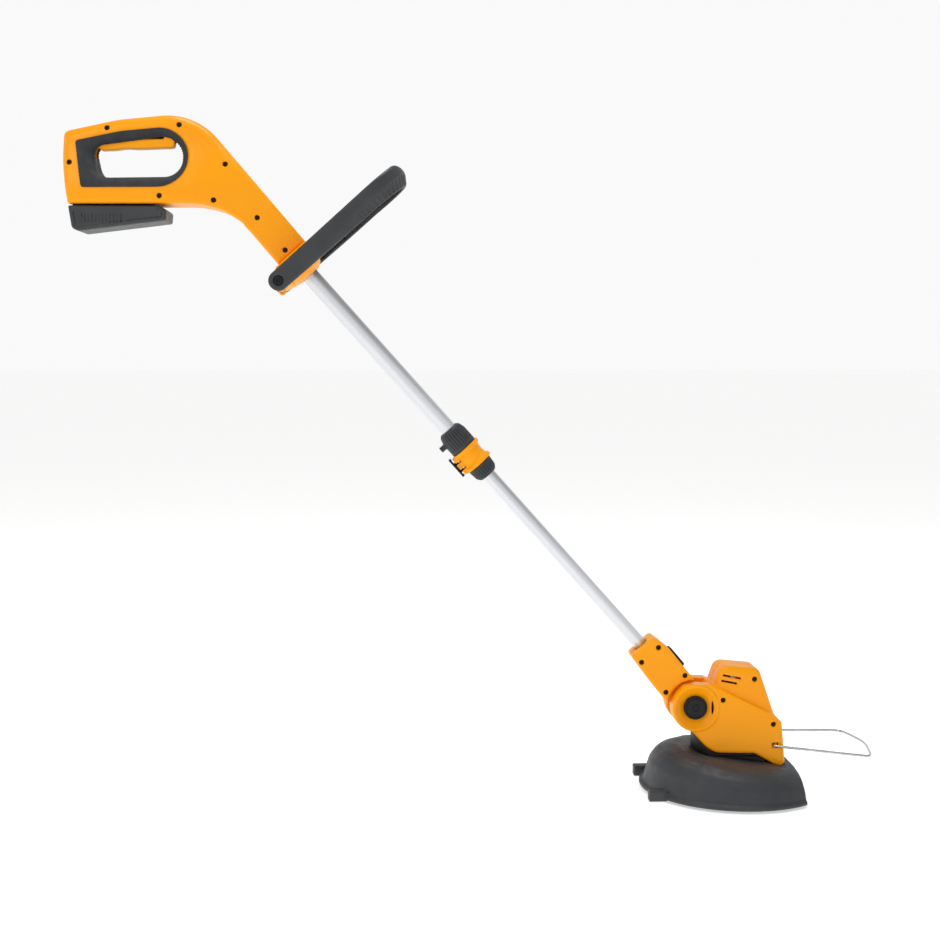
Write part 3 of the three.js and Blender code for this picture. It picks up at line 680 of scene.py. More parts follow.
def battery_pack(x, y, z):
    side = battery_side(x, z)
    draft = 0.9 * np.clip((BATTERY_TOP - 6 - z) / 24, 0, 1)
    d = meet(side, np.abs(y) - BATTERY_HALF + draft, 3.2)
    seam = common(np.abs(z - BATTERY_TOP + 4.6) - 0.35, -(d + 0.7))
    d = carve(d, seam, 0.3)
    lower = common(np.abs(side + 5.5) - 0.4, -(np.abs(y) - BATTERY_HALF + 1.2), z - BATTERY_TOP + 7)
    d = carve(d, lower, 0.4)
    nose = common(np.abs(x - BATTERY_FRONT + 10) - 0.35, -(d + 0.6))
    d = carve(d, nose, 0.3)
    ribs = rows(x + 64.5, 4.4, 0.75)
    panel = common(np.abs(x + 36) - 26, np.abs(z - BATTERY_TOP + 15) - 5.5)
    d = carve(d, common(ribs, panel, -(d + 0.8)), 0.5)
    rail = box_field(x, y, z, (-76, -20, BATTERY_TOP - 3), (22, 20, -88.5), 0.8)
    groove = common(np.abs(np.abs(y) - 20.5) - 1.6, np.abs(z + 95.5) - 1.6)
    d = blend_join(d, carve(rail, groove, 0.4), 0.6)
    contacts = common(rows(y + 4, 8, 1.3), np.abs(y) - 14, 16 - x, -93 - z)
    d = carve(d, contacts, 0.3)
    pocket = box_field(x, y, z, (-92, -13, BATTERY_TOP - 14), (-70, 13, BATTERY_TOP - 3), 0.8)
    return carve(d, pocket, 0.6)


moulded(
    "battery_case", battery_pack, (-81, -36, -133), (44, 36, -87), 0.95, "battery", "dark_plastic",
    ("battery_pack",),
)


def battery_release(x, y, z):
    d = box_field(x, y, z, (-78.3, -12.4, BATTERY_TOP - 13.4), (-74, 12.4, BATTERY_TOP - 3.6), 1.2)
    ribs = common(rows(z - BATTERY_TOP, 2.2, 0.4), x + 77.3)
    return carve(d, common(ribs, np.abs(y) - 9.5), 0.3)


moulded(
    "battery_release_pad", battery_release, (-80, -13.5, BATTERY_TOP - 14.5),
    (-73, 13.5, BATTERY_TOP - 2.5), 0.45, "battery_release", "black_plastic", ("battery_release",),
)

# ---- screws ----

SCREW_HEAD_R = 3.0
SCREW_R = 2.1


def screw_form(length):
    """A pan-head screw along +Y, its head's face at y = 0, with a six-lobed socket."""

    def field(x, y, z):
        across = np.hypot(x, z)
        dome = 0.35 * (across / SCREW_HEAD_R) ** 2
        head = meet(across - SCREW_HEAD_R + 0.05, np.abs(y - 1.2) - 1.2 + dome * (y < 1.2), 0.35)
        shank = common(
            across - SCREW_R + 0.1 * np.cos(y * 2 * math.pi / 1.3),
            np.abs(y - length / 2) - length / 2 + 0.3,
        )
        lobes = across - 1.35 - 0.3 * np.cos(6 * np.arctan2(z, x))
        d = either(head, common(shank, 1.0 - y))
        return carve(d, common(lobes, y - 1.5), 0.15)

    return surface_nets(field, (-3.4, -0.4, -3.4), (3.4, length + 0.4, 3.4), 0.28 * COARSE)


SCREW_FORMS = {}


def add_screw(name, x, z, head_y, tip_y, body, along_shaft=False):
    length = round(tip_y - head_y, 1)
    if length not in SCREW_FORMS:
        SCREW_FORMS[length] = screw_form(length)
    points, faces = SCREW_FORMS[length]
    points = points + np.array([x, head_y, z])
    if along_shaft:
        points = shaft_to_frame(points)
    make_object(name + "_part", points, faces, body, "screw_steel", (name,), angle=35)


for i, (x, z) in enumerate(REAR_SCREWS):
    add_screw(f"rear_screw_{i + 1}", x, z, 2.0 - rear_half(x, z), 9.0, "handle_unit")

# ---- front loop handle and its bracket ----

LOOP_PIVOT = (-19.0, -34.0)
LOOP_TOP = 178.0
LOOP_INNER = 38.0
LOOP_ARM = 11.0
LOOP_OUTER = LOOP_INNER + LOOP_ARM
LOOP_FOOT = LOOP_PIVOT[1] - 12.5
LOOP_LOW, LOOP_HIGH = LOOP_PIVOT[0] - 12.5, LOOP_PIVOT[0] + 12.5

loop_outside = outline_field([
    (-LOOP_OUTER, LOOP_FOOT - 20, 0), (-LOOP_OUTER, LOOP_FOOT + 10, 0), (-LOOP_OUTER - 10, LOOP_TOP, 56),
    (LOOP_OUTER + 10, LOOP_TOP, 56), (LOOP_OUTER, LOOP_FOOT + 10, 0), (LOOP_OUTER, LOOP_FOOT - 20, 0),
])
LOOP_INSIDE = [
    (-LOOP_INNER, LOOP_FOOT - 40, 0), (-LOOP_INNER, LOOP_FOOT + 10, 0),
    (-LOOP_INNER - 8, LOOP_TOP - 15, 44), (LOOP_INNER + 8, LOOP_TOP - 15, 44),
    (LOOP_INNER, LOOP_FOOT + 10, 0), (LOOP_INNER, LOOP_FOOT - 40, 0),
]
loop_inside = outline_field(LOOP_INSIDE)
loop_along = along_outline(LOOP_INSIDE)
loop_side = outline_field([
    (LOOP_LOW, LOOP_FOOT, 12.2), (LOOP_HIGH, LOOP_FOOT, 12.2), (LOOP_HIGH + 4, LOOP_TOP, 12),
    (LOOP_LOW - 1, LOOP_TOP, 12),
])


def loop_handle(s, y, n):
    outside, inside, side = loop_outside(y, n), loop_inside(y, n), loop_side(s, n)
    band = common(outside, -inside)
    d = meet(band, side, 3.2)
    high = LOOP_HIGH + 4 * np.clip((n - LOOP_FOOT) / (LOOP_TOP - LOOP_FOOT), 0, 1)
    reach = 0.5 + 14.5 * smoothstep(n, -30, 140)
    slant = 10.0 / 14.5
    chamfer = ((s - high + reach) * slant + outside) / math.hypot(1, slant)
    d = meet(d, chamfer, 2.4)
    along = loop_along(y, n)
    ribs = rows(along, 4.2, 0.55)
    floor = inside - 5.2
    channel = common(floor, side + 2.4, 4 - n, chamfer + 2.6)
    d = carve(d, common(channel, -common(ribs, 1.6 - inside)), 0.5)
    treads = common(rows(along, 6.4, 1.3), -(chamfer + 0.9), 96 - n)
    d = carve(d, common(treads, side + 2.4, outside + 2.2), 0.9)
    across = from_axis(s, n, LOOP_PIVOT)
    outer_side = LOOP_OUTER - np.abs(y)
    ring = common(np.abs(across - 8.6) - 0.3, outer_side - 0.5)
    d = carve(d, ring, 0.3)
    d = carve(d, common(across - 6.6, outer_side - 4.5), 0.5)
    return carve(d, across - 4.3, 0.3)


moulded(
    "loop_handle_moulding", loop_handle, (-34, -61, -48), (0, 61, 180), 1.15, "loop_handle", "dark_plastic",
    ("loop_handle",), shaft_to_frame,
)

bracket_block = outline_field([
    (FRONT_END + 0.3, 24.5, 2), (-6, 24.5, 14), (0.5, 14, 10), (0.5, -14, 18), (-6, -42, 7), (-26, -44, 8),
    (FRONT_END + 0.3, -24, 5),
])


def handle_bracket(s, y, n):
    d = meet(bracket_block(s, n), np.abs(y) - 37.4, 5.0)
    d = meet(d, np.hypot(y, n) - 46.4, 2.0)
    dome = np.sqrt((s + 58) ** 2 * 0.8 + y**2 * 0.55 + (n + 4) ** 2 * 0.55) - 53.5
    d = meet(d, dome, 3.0)
    eyelet = meet(np.hypot(s + 7, n + 40) - 4.4, np.abs(y + 20) - 3, 0.8)
    d = blend_join(d, eyelet, 1.5)
    d = carve(d, common(np.hypot(s + 7, n + 40) - 1.7, np.abs(y + 20) - 9), 0.3)
    split = common(np.abs(n + 22) - 0.4, -(d + 1.0))
    d = carve(d, split, 0.3)
    collar = common(np.abs(np.hypot(y, n) - 14.2) - 0.5, -(s + 2.0))
    d = carve(d, collar, 0.3)
    d = carve(d, np.hypot(y, n) - SOCKET_R, 0.8)
    return carve(d, from_axis(s, n, LOOP_PIVOT) - 4.3, 0.4)


moulded(
    "handle_bracket_block", handle_bracket, (-37, -39, -47), (3, 39, 27), 1.0, "handle_unit",
    "yellow_plastic", ("handle_bracket",), shaft_to_frame,
)


def loop_hexagon(s, n, half):
    """A hexagon about the loop's pivot, half wide from its middle to each flat."""
    angle = np.arctan2(n - LOOP_PIVOT[1], s - LOOP_PIVOT[0])
    return from_axis(s, n, LOOP_PIVOT) * np.cos(np.mod(angle, math.pi / 3) - math.pi / 6) - half


def handle_bolt(s, y, n):
    across = from_axis(s, n, LOOP_PIVOT)
    head = meet(across - 5.9, np.abs(y + LOOP_OUTER - 2.5) - 1.7, 0.5)
    shank = common(across - 3.9, np.abs(y + 1) - LOOP_OUTER + 3)
    shank = shank + 0.12 * np.maximum(0, np.cos(y * 2 * math.pi / 1.4)) * (y > LOOP_OUTER - 12)
    d = either(head, shank)
    return carve(d, common(loop_hexagon(s, n, 2.5), y + LOOP_OUTER - 3.4), 0.2)


moulded(
    "handle_bolt_part", handle_bolt, (-26, -50, -41), (-12, 48.5, -27), 0.5, "handle_unit", "black_plastic",
    ("handle_bolt",), shaft_to_frame,
)


def handle_nut(s, y, n):
    across = from_axis(s, n, LOOP_PIVOT)
    cone = common(loop_hexagon(s, n, 5.1), (across + 1.6 * np.abs(y - LOOP_OUTER + 2.6)) - 8.0)
    d = meet(cone, np.abs(y - LOOP_OUTER + 2.6) - 1.55, 0.3)
    return carve(d, across - 4.15 - 0.1 * np.cos(y * 2 * math.pi / 1.0), 0.15)


moulded(
    "handle_nut_part", handle_nut, (-26, LOOP_OUTER - 5, -41), (-12, LOOP_OUTER, -27), 0.4, "handle_unit",
    "bright_steel", ("handle_nut",), shaft_to_frame,
)

# ---- tubes and coupler ----

COUPLER_START = 264.6
COLLAR_R = 18.2
COLLAR_END = COUPLER_START + 31.0
UPPER_TUBE_END = COLLAR_END - 12.0
SLEEVE_START = COLLAR_END + 0.5
SLEEVE_END = SLEEVE_START + 28.0
NUT_START = SLEEVE_END + 0.5
NECK_START = 646.0
LOWER_TUBE_END = NECK_START + 44.0
FLANGE_R = 20.4

turned(
    "upper_tube_skin",
    [(-85, 9.8, 0.3), (UPPER_TUBE_END, 9.8, 0.3), (UPPER_TUBE_END, 11, 0.4), (-85, 11, 0.4)], "handle_unit",
    "tube_aluminium", ("upper_tube",),
)
turned(
    "lower_tube_skin",
    [(170, 7.8, 0.3), (LOWER_TUBE_END, 7.8, 0.3), (LOWER_TUBE_END, 9, 0.4), (170, 9, 0.4)], "lower_shaft",
    "tube_aluminium", ("lower_tube",),
)

collar_half = outline_field([
    (COUPLER_START, SOCKET_R, 0.3), (COUPLER_START, 12.8, 0.6), (COUPLER_START + 3, 15.9, 3),
    (COUPLER_START + 11, COLLAR_R, 12), (COLLAR_END, COLLAR_R, 0.8), (COLLAR_END, 15, 0.4),
    (UPPER_TUBE_END + 0.3, 15, 0.4), (UPPER_TUBE_END + 0.3, SOCKET_R, 0.4),
])


def flutes(y, n, count, sharp=0.42):
    """1 in the grooves and 0 on the ribs, count times round the shaft."""
    return np.exp(-((np.sin(np.arctan2(y, n) * count / 2) / sharp) ** 2))


def upper_collar(s, y, n):
    d = collar_half(s, np.hypot(y, n))
    window = smoothstep(s, COUPLER_START + 0.5, COUPLER_START + 3)
    window = window * smoothstep(s, COLLAR_END - 4.5, COLLAR_END - 6.5)
    outer = smoothstep(np.hypot(y, n), 11.8, 12.4)
    d = d + 1.25 * flutes(y, n, 28) * window * outer
    ledge = common(np.abs(s - COLLAR_END + 5.0) - 0.35, COLLAR_R - 0.5 - np.hypot(y, n))
    d = carve(d, ledge, 0.3)
    peg_s = COUPLER_START + 14
    across = np.hypot(s - peg_s, y)
    peg = meet(across - 3.9, np.abs(n + 20.5) - 4.9, 0.6)
    rings = common(rows(n, 2.4, 0.45), 3.3 - across)
    peg = carve(peg, common(rings, n + COLLAR_R + 0.6), 0.2)
    peg = carve(peg, common(across - 1.6, n + 23), 0.3)
    return blend_join(d, peg, 0.8)


moulded(
    "upper_collar_skin", upper_collar, (263, -19.5, -26.5), (297, 19.5, 19.5), 0.5, "handle_unit",
    "black_plastic", ("upper_collar",), shaft_to_frame, 60, "dark_plastic",
)

LEVER_S = (SLEEVE_START + SLEEVE_END) / 2
LEVER_N = -20.3
sleeve_half = outline_field([
    (SLEEVE_START - 9, 9.5, 0.3), (SLEEVE_START - 9, 14.5, 0.5), (SLEEVE_START, 14.5, 0.3),
    (SLEEVE_START, FLANGE_R, 1.0), (SLEEVE_START + 4.5, FLANGE_R, 1.2), (SLEEVE_START + 6.7, 17, 1.5),
    (SLEEVE_END - 6.7, 17, 1.5), (SLEEVE_END - 4.5, FLANGE_R, 1.2), (SLEEVE_END, FLANGE_R, 1.0),
    (SLEEVE_END, 9.5, 0.3),
])


def coupler_sleeve(s, y, n):
    d = sleeve_half(s, np.hypot(y, n))
    for centre in (SLEEVE_START + 4.6, SLEEVE_END - 4.6):
        prong = box_field(s, np.abs(y), n, (centre - 3.1, 4.8, -22.2), (centre + 3.1, 10.4, -8), 0.9)
        d = blend_join(d, prong, 1.0)
    notch = box_field(s, y, n, (SLEEVE_START + 9.8, -11, -24), (SLEEVE_END - 9.8, 11, -15.6), 0.8)
    d = carve(d, notch, 0.5)
    for side in (-1, 1):
        lo, hi = sorted((side * 4.6, side * 8.4))
        ear = box_field(s, y, n, (LEVER_S - 3.8, lo, LEVER_N - 2.9), (LEVER_S + 3.8, hi, -12), 0.6)
        d = either(d, ear)
    panel = common(np.abs(s - LEVER_S) - 5, 16.6 - np.hypot(y, n))
    d = carve(d, common(panel, 8 - n), 0.4)
    return carve(d, np.hypot(s - LEVER_S, n - LEVER_N) - 1.8, 0.3)


moulded(
    "coupler_sleeve_skin", coupler_sleeve, (SLEEVE_START - 10, -21.5, -24.5),
    (SLEEVE_END + 1.5, 21.5, 21.5), 0.55, "coupler", "yellow_plastic", ("coupler_sleeve",), shaft_to_frame,
    angle=60,
)


def release_lever(s, y, n):
    blade = box_field(s, y, n, (SLEEVE_START - 0.8, -8.4, -26.7), (SLEEVE_END - 1.2, 8.4, -24.1), 1.0)
    toes = box_field(s, y, n, (SLEEVE_START - 0.8, -8.4, -26.7), (SLEEVE_START + 1.0, 8.4, -23.2), 0.7)
    heels = box_field(s, y, n, (SLEEVE_END - 3.0, -8.4, -26.7), (SLEEVE_END - 1.2, 8.4, -23.2), 0.7)
    d = blend_join(blade, either(toes, heels), 0.8)
    across = np.hypot(s - LEVER_S, n - LEVER_N)
    boss = meet(across - 2.9, np.abs(y) - 3.9, 0.5)
    stem = box_field(s, y, n, (LEVER_S - 2.6, -3.9, -25), (LEVER_S + 2.6, 3.9, LEVER_N), 0.3)
    d = blend_join(d, either(boss, stem), 0.8)
    block = box_field(s, y, n, (SLEEVE_START + 6.5, -4.1, -25), (SLEEVE_END - 6.5, 4.1, -18.8), 0.6)
    d = blend_join(d, block, 0.8)
    grip = common(rows(s, 2.2, 0.4), n + 26.3, np.abs(y) - 6.5)
    d = carve(d, common(grip, SLEEVE_START + 16 - s), 0.25)
    return carve(d, across - 1.75, 0.2)


moulded(
    "release_lever_part", release_lever, (SLEEVE_START - 2, -9.2, -27.5), (SLEEVE_END, 9.2, -16.5), 0.4,
    "release_lever", "black_plastic", ("release_lever",), shaft_to_frame,
)

nut_half = outline_field([
    (NUT_START, 12.2, 0.3), (NUT_START, 17.3, 0.7), (NUT_START + 13, 15.9, 8), (NUT_START + 16.5, 13.6, 3),
    (NUT_START + 18.5, 11.4, 0.6), (NUT_START + 18.5, 9.5, 0.4), (NUT_START + 15, 12.2, 0.3),
])


def lock_nut(s, y, n):
    d = nut_half(s, np.hypot(y, n))
    window = smoothstep(s, NUT_START + 2.0, NUT_START + 3.5)
    window = window * smoothstep(s, NUT_START + 18.0, NUT_START + 16.0)
    outer = smoothstep(np.hypot(y, n), 11.6, 12.3)
    return d + 1.2 * flutes(y, n, 26) * window * outer


moulded(
    "lock_nut_skin", lock_nut, (NUT_START - 1, -18.3, -18.3), (NUT_START + 19.5, 18.3, 18.3), 0.5,
    "lock_nut", "black_plastic", ("lock_nut",), shaft_to_frame, 60, "dark_plastic",
)

# ---- neck ----

NECK_HALF = 21.0
RING_R = 31.0
CAP_R = 15.6
TONGUE_HALF = 12.0
NECK_SCREWS = [(660.3, -14.6), (660.6, 14.8), (712.4, 16.3), (712.2, -17)]
BUTTON_S0, BUTTON_S1, BUTTON_HALF = 674.0, 704.5, 8.5
PIVOT = from_shaft(PIVOT_S, PIVOT_N)

neck_side = outline_field([
    (NECK_START, -19.5, 4), (NECK_START, 19.5, 6), (672, 24.3, 8), (735, 21.5, 0), (735, -25.5, 0),
    (690, -23.5, 30),
])


def button_box(s, y, n, margin, low, r=0.0):
    lo = (BUTTON_S0 - margin, -BUTTON_HALF - margin, low)
    return box_field(s, y, n, lo, (BUTTON_S1 + margin, BUTTON_HALF + margin, 40), r)


def neck_shell(s, y, n):
    side = neck_side(s, n)
    across = np.hypot(s - PIVOT_S, n - PIVOT_N)
    planar = meet(side, RING_R + 3 - across, 0.8)
    d = meet(planar, np.abs(y) - NECK_HALF + 0.1, 4.5)
    cuff = common(np.abs(s - NECK_START - 6.2) - 0.4, -(d + 0.5))
    d = carve(d, common(cuff, s - 660), 0.4)
    web = common(np.abs(n + 0.8) - 14.5, 700 - s, s - PIVOT_S)
    disc = across - 25
    tongue = meet(either(web, disc), np.abs(y) - TONGUE_HALF, 1.0)
    d = blend_join(d, tongue, 2.0)
    d = carve(d, button_box(s, y, n, 0.6, 12), 0.6)
    rim = np.abs(button_box(s, y, n, 3, 0, 1.5)) - 0.35
    d = carve(d, common(rim, 20 - n), 0.4)
    bore = common(np.hypot(y, n) - 9.3, s - LOWER_TUBE_END - 0.3)
    flare = common(np.hypot(y, n) - 10.6 + np.maximum(0, s - NECK_START) * 0.6, s - NECK_START - 3)
    lead = common(np.hypot(y, n) - 6.2, s - NECK_START - 60.3)
    d = carve(d, either(bore, flare, lead), 0.4)
    d = carve(d, across - 6.5, 0.5)
    for a, b in NECK_SCREWS:
        d = screw_hole(d, np.hypot(s - a, n - b), y, NECK_HALF, 0.5, 4.2, 12.5, 0.4)
    return d


both_halves(
    "neck_shell", neck_shell, (644, -22, -29), (778, 22, 27), 0.9, "lower_shaft", "yellow_plastic",
    place=shaft_to_frame, reach=1.2,
)
for i, (a, b) in enumerate(NECK_SCREWS):
    add_screw(f"neck_screw_{i + 1}", a, b, 1.5 - NECK_HALF, 12.0, "lower_shaft", True)

tilt_side = outline_field([
    (BUTTON_S0, 15.5, 0.5), (BUTTON_S0, 27, 3), (BUTTON_S1, 26.4, 3), (BUTTON_S1, 15.5, 0.5),
])


def tilt_button(s, y, n):
    d = meet(tilt_side(s, n), np.abs(y) - BUTTON_HALF, 1.4)
    ribs = common(rows(s, 2.8, 0.55), 25.6 - n)
    span = common(np.abs(s - (BUTTON_S0 + BUTTON_S1) / 2) - 10, np.abs(y) - 6.4)
    return carve(d, common(ribs, span), 0.35)


moulded(
    "tilt_button_pad", tilt_button, (BUTTON_S0 - 1, -9.5, 14.5), (BUTTON_S1 + 1, 9.5, 28), 0.45,
    "tilt_button", "black_plastic", ("tilt_button",), shaft_to_frame,
)

# ---- motor head ----

HEAD_HALF = 38.0
HEAD_WALL = 3.0
BULGE_HALF = 28.0
HEAD_SCREWS = [(795.2, -709.4), (752, -735), (818.5, -767.6)]
WIRE_HOLE = (819.5, -795.5)
TONGUE_AIM, TONGUE_SWEEP = math.radians(135), math.radians(80)
VENT_LEAN = math.tan(math.radians(11))

lower_body = outline_field([
    (700, -716, 8), (738, -715.5, 10), (822.5, -757.5, 4), (830.5, -765.5, 6), (835.5, -820, 6),
    (828, -826, 5), (794, -806.3, 8), (738, -806, 28), (687, -749, 6),
])
bulge_side = outline_field([
    (741, -722, 0), (751, -691.5, 13), (802, -696.5, 9), (824, -760, 4), (800, -790, 0), (745, -780, 0),
])


def head_half(x):
    return HEAD_HALF - 4 + 4 * smoothstep(x, 720, 790)


def motor_shell(x, y, z):
    lower = lower_body(x, z)
    half = head_half(x) - 0.2
    front = np.clip((x - 800) / 30, 0, 1)
    body = meet(lower, np.abs(y) - half, 4.0 + 1.5 * front)
    room = common(body + HEAD_WALL, 738 - x)
    bulge = meet(bulge_side(x, z), np.abs(y) - BULGE_HALF + 0.1, 8.5)
    room = either(room, common(bulge + HEAD_WALL, 738 - x))
    d = blend_join(body, bulge, 3.0)
    across = from_axis(x, z, PIVOT)
    face = HEAD_HALF - 2
    ring = meet(across - RING_R, np.abs(y) - face, 3.0)
    d = blend_join(d, ring, 2.0)
    bosses = np.minimum.reduce([np.hypot(x - a, z - b) - 5 for a, b in [*HEAD_SCREWS, WIRE_HOLE]])
    d = carve(d, carve(room, bosses, 1.0), 0.5)
    ahead = (x - PIVOT[0]) * math.cos(TONGUE_AIM) + (z - PIVOT[1]) * math.sin(TONGUE_AIM)
    fan = common(across - 60, -ahead + across * math.cos(TONGUE_SWEEP))
    slot = common(either(fan, across - 26), np.abs(y) - TONGUE_HALF - 0.5)
    d = carve(d, slot, 0.5)
    depth = face - np.abs(y)
    dish = across - 28.6 + 1.37 * np.maximum(depth, 0)
    d = carve(d, common(dish / 1.7, depth - 8.2), 1.4)
    well = common(across - CAP_R - 0.3, depth - 9)
    d = carve(d, either(well, across - 6.3), 0.4)
    seat = common(np.abs(across - RING_R - 0.2) - 0.35, -(d + 0.8))
    d = carve(d, common(seat, head_half(x) - 1.5 - np.abs(y)), 0.4)
    for i, (a, b) in enumerate(HEAD_SCREWS):
        side = BULGE_HALF if i == 0 else head_half(a)
        d = screw_hole(d, np.hypot(x - a, z - b), y, side, 0.6, 4.2, 10.5, 0.5)
    for i, z0 in enumerate((-706, -713)):
        x0 = 753 - 2 * i
        span = 24 - 3 * i
        middle = x - x0 - span / 2
        level = np.abs(z - z0 + middle * VENT_LEAN) - 1.25
        vent = meet(level, np.abs(middle) - span / 2, 0.8)
        d = carve(d, vent, 0.5)
        lip = common(level - 1.6, np.abs(middle) - span / 2 - 1.6, -(bulge + 0.5))
        d = carve(d, lip, 0.5)
    d = carve(d, common(np.hypot(x - GUARD_CENTRE[0], y) - 9, z + 790), 0.4)
    wire = common(from_axis(x, z, WIRE_HOLE) - 2.2, HEAD_HALF - 11 - np.abs(y))
    d = carve(d, wire, 0.3)
    notch = common(np.abs(x - WIRE_HOLE[0] - 1.5) - 4.2, np.abs(z - WIRE_HOLE[1]) - 3.6)
    notch = common(notch, HEAD_HALF - 3.2 - np.abs(y))
    d = carve(d, notch, 0.6)
    edge = common(np.abs(lower + 5.0) - 0.45, head_half(x) - 0.9 - np.abs(y))
    return carve(d, common(edge, 815 - x), 0.4)


both_halves(
    "motor_shell", motor_shell, (684, -39.5, -828), (838, 39.5, -688), 1.05, "head", "yellow_plastic",
)
for i, (a, b) in enumerate(HEAD_SCREWS):
    side = BULGE_HALF if i == 0 else head_half(a)
    add_screw(f"head_screw_{i + 1}", a, b, 1.5 - side, 10.0, "head")


def pivot_cap(side):
    face = HEAD_HALF - 2

    def field(x, y, z):
        across = from_axis(x, z, PIVOT)
        depth = face - side * y
        crown = 1.0 * (across / CAP_R) ** 2
        d = meet(across - CAP_R + 0.1, np.abs(depth - 5.85) - 2.85 + crown * (depth < 5.85), 0.9)
        rings = common(np.abs(across - 12.6) - 0.35, depth - 4.3)
        marks = common(np.abs(across - 4.2) - 0.3, depth - 3.7)
        return carve(d, either(rings, marks), 0.35)

    return field


for side, word in ((-1, "right"), (1, "left")):
    y0, y1 = sorted((side * (HEAD_HALF - 11.2), side * (HEAD_HALF - 4.2)))
    moulded(
        f"pivot_cap_{word}_disc", pivot_cap(side), (PIVOT[0] - 16.5, y0, PIVOT[1] - 16.5),
        (PIVOT[0] + 16.5, y1, PIVOT[1] + 16.5), 0.6, "head", "black_plastic", (f"pivot_cap_{word}",),
    )

# ---- guard ----

GUARD_R = 125.0
GUARD_WALL = 3.0
GUARD_FRONT = GUARD_CENTRE[0] + 72.5
GUARD_TOP = [(118, 12, 12), (112.5, 25, 20), (104, 35, 22), (92, 42, 24), (78, 45.6, 18), (10, 46.2, 0.6)]
guard_ring = outline_field([
    (GUARD_R - 8, 0, 0.4), (GUARD_R, 0, 0.8), (GUARD_R, 4, 1.2), (GUARD_R - 5, 6, 2.5), *GUARD_TOP,
    *[(max(r - GUARD_WALL, 10), z - GUARD_WALL, max(c - 2, 0.4)) for r, z, c in reversed(GUARD_TOP)],
])
guard_filled = outline_field([
    (-20, -2, 0), (GUARD_R - 7, -2, 0), *GUARD_TOP[:-1], (10, 46.2, 0), (-20, 46.2, 0),
])
RIDGE_R = [0, 57.5, 60.5, 65, 71, 81, 92, 104, 113]
RIDGE_RISE = [0, 0, 0.5, 1.4, 1.9, 1.7, 0.9, 0.3, 0]


def guard_place(x, y, z):
    """Distance from the guard's axis and height in its upright profile."""
    dx, dz = x - GUARD_CENTRE[0], z - GUARD_CENTRE[2]
    r = np.hypot(dx, y)
    lean = 0.93 - 0.003 * dx - 1
    up = dz / (1 + lean)
    up = dz / (1 + lean * np.clip((up - 6) / 20, 0, 1))
    rear = smoothstep(-dx / np.maximum(r, 1), 0.1, 0.8)
    return r, up - rear * np.interp(r, RIDGE_R, RIDGE_RISE), np.arctan2(y, -dx)


nose_recess = outline_field([
    (780, -780, 0), (838, -780, 0), (838, -822, 0), (829, -828.5, 0), (793, -807.8, 0), (780, -807.8, 0),
])
tray_floor = outline_field([
    (790, -800, 0), (850, -800, 0), (850, -826, 0), (833, -832, 0), (820, -830, 0), (790, -812, 0),
])


def guard(x, y, z):
    r, up, angle = guard_place(x, y, z)
    skin = guard_ring(r, up)
    filled = guard_filled(r, up)
    tray = common(tray_floor(x, z), np.abs(y) - HEAD_HALF - 4, filled)
    d = blend_join(skin, tray, 1.0)
    panel = meet(np.abs(r - 82.5) - 14.5, (np.abs(angle) - math.radians(52)) * 82, 6.0)
    d = d + 0.9 * smoothstep(panel, 0.5, -0.6) * smoothstep(filled, -2.4, -1.0)
    step = common(np.abs(r - 76.5) - 0.5, -(filled + 0.6))
    d = carve(d, common(step, math.radians(80) - np.abs(angle)), 0.4)
    for side in (-1, 1):
        lug = box_field(x, y, z, (650.3, side * 59 - 7, -859.5), (674, side * 59 + 7, -845.2), 1.4)
        scoop = box_field(x, y, z, (652.5, side * 59 - 4.6, -862), (666, side * 59 + 4.6, -848), 0.8)
        d = carve(blend_join(d, lug, 1.5), scoop, 0.5)
    rib = common(rows(np.abs(angle), math.radians(30), 0) * r - 0.9, filled + 2)
    d = either(d, common(rib, np.abs(r - 106) - 10, 16 - up))
    recess = common(nose_recess(x, z), np.abs(y) - HEAD_HALF - 1)
    d = carve(d, recess, 0.8)
    return carve(d, GUARD_FRONT - x, 1.0)


moulded(
    "guard_shell", guard, (648, -126.5, -861), (849, 126.5, -784), 1.25, "head", "dark_plastic", ("guard",),
    paint="guard_plastic",
)

base_foot = outline_field([(712, -780, 0), (760, -788, 0), (806, -804, 0), (812, -826, 0), (712, -817, 0)])


def motor_base(x, y, z):
    r, up, _ = guard_place(x, y, z)
    d = meet(base_foot(x, z), np.abs(y) - HEAD_HALF + 1.2, 5.0)
    d = meet(d, r - 56.8, 2.0)
    rings = common(np.abs(z + 809.5) - 0.5, -(d + 0.9))
    d = carve(d, rings, 0.4)
    d = carve(d, lower_body(x, z) - 0.3, 0.2)
    d = carve(d, guard_filled(r, up) - 0.3, 0.2)
    return carve(d, np.hypot(x - GUARD_CENTRE[0], y) - 9, 0.3)


moulded(
    "motor_base_ring", motor_base, (714, -38.5, -822), (816, 38.5, -780), 0.9, "head", "black_plastic",
    ("motor_base",),
)


def cutter_blade(x, y, z):
    d = box_field(x, y, z, (821.7, -86.9, -859.9), (845.5, -85.6, -848.2), 0.35)
    bevel = (-(z + 857.2) + (y + 86.2) * 2.0) / 2.24
    d = meet(d, bevel, 0.1)
    return carve(d, either(np.hypot(x - 827, z + 852) - 1.6, np.hypot(x - 839, z + 852) - 1.6), 0.1)


moulded(
    "line_cutter_plate", cutter_blade, (820, -88, -861), (847.5, -84.5, -847), 0.45, "head", "bright_steel",
    ("line_cutter_blade",),
)

# ---- spool and knob ----

SPOOL_R = 41.0
FLOOR_Z = GUARD_CENTRE[2]

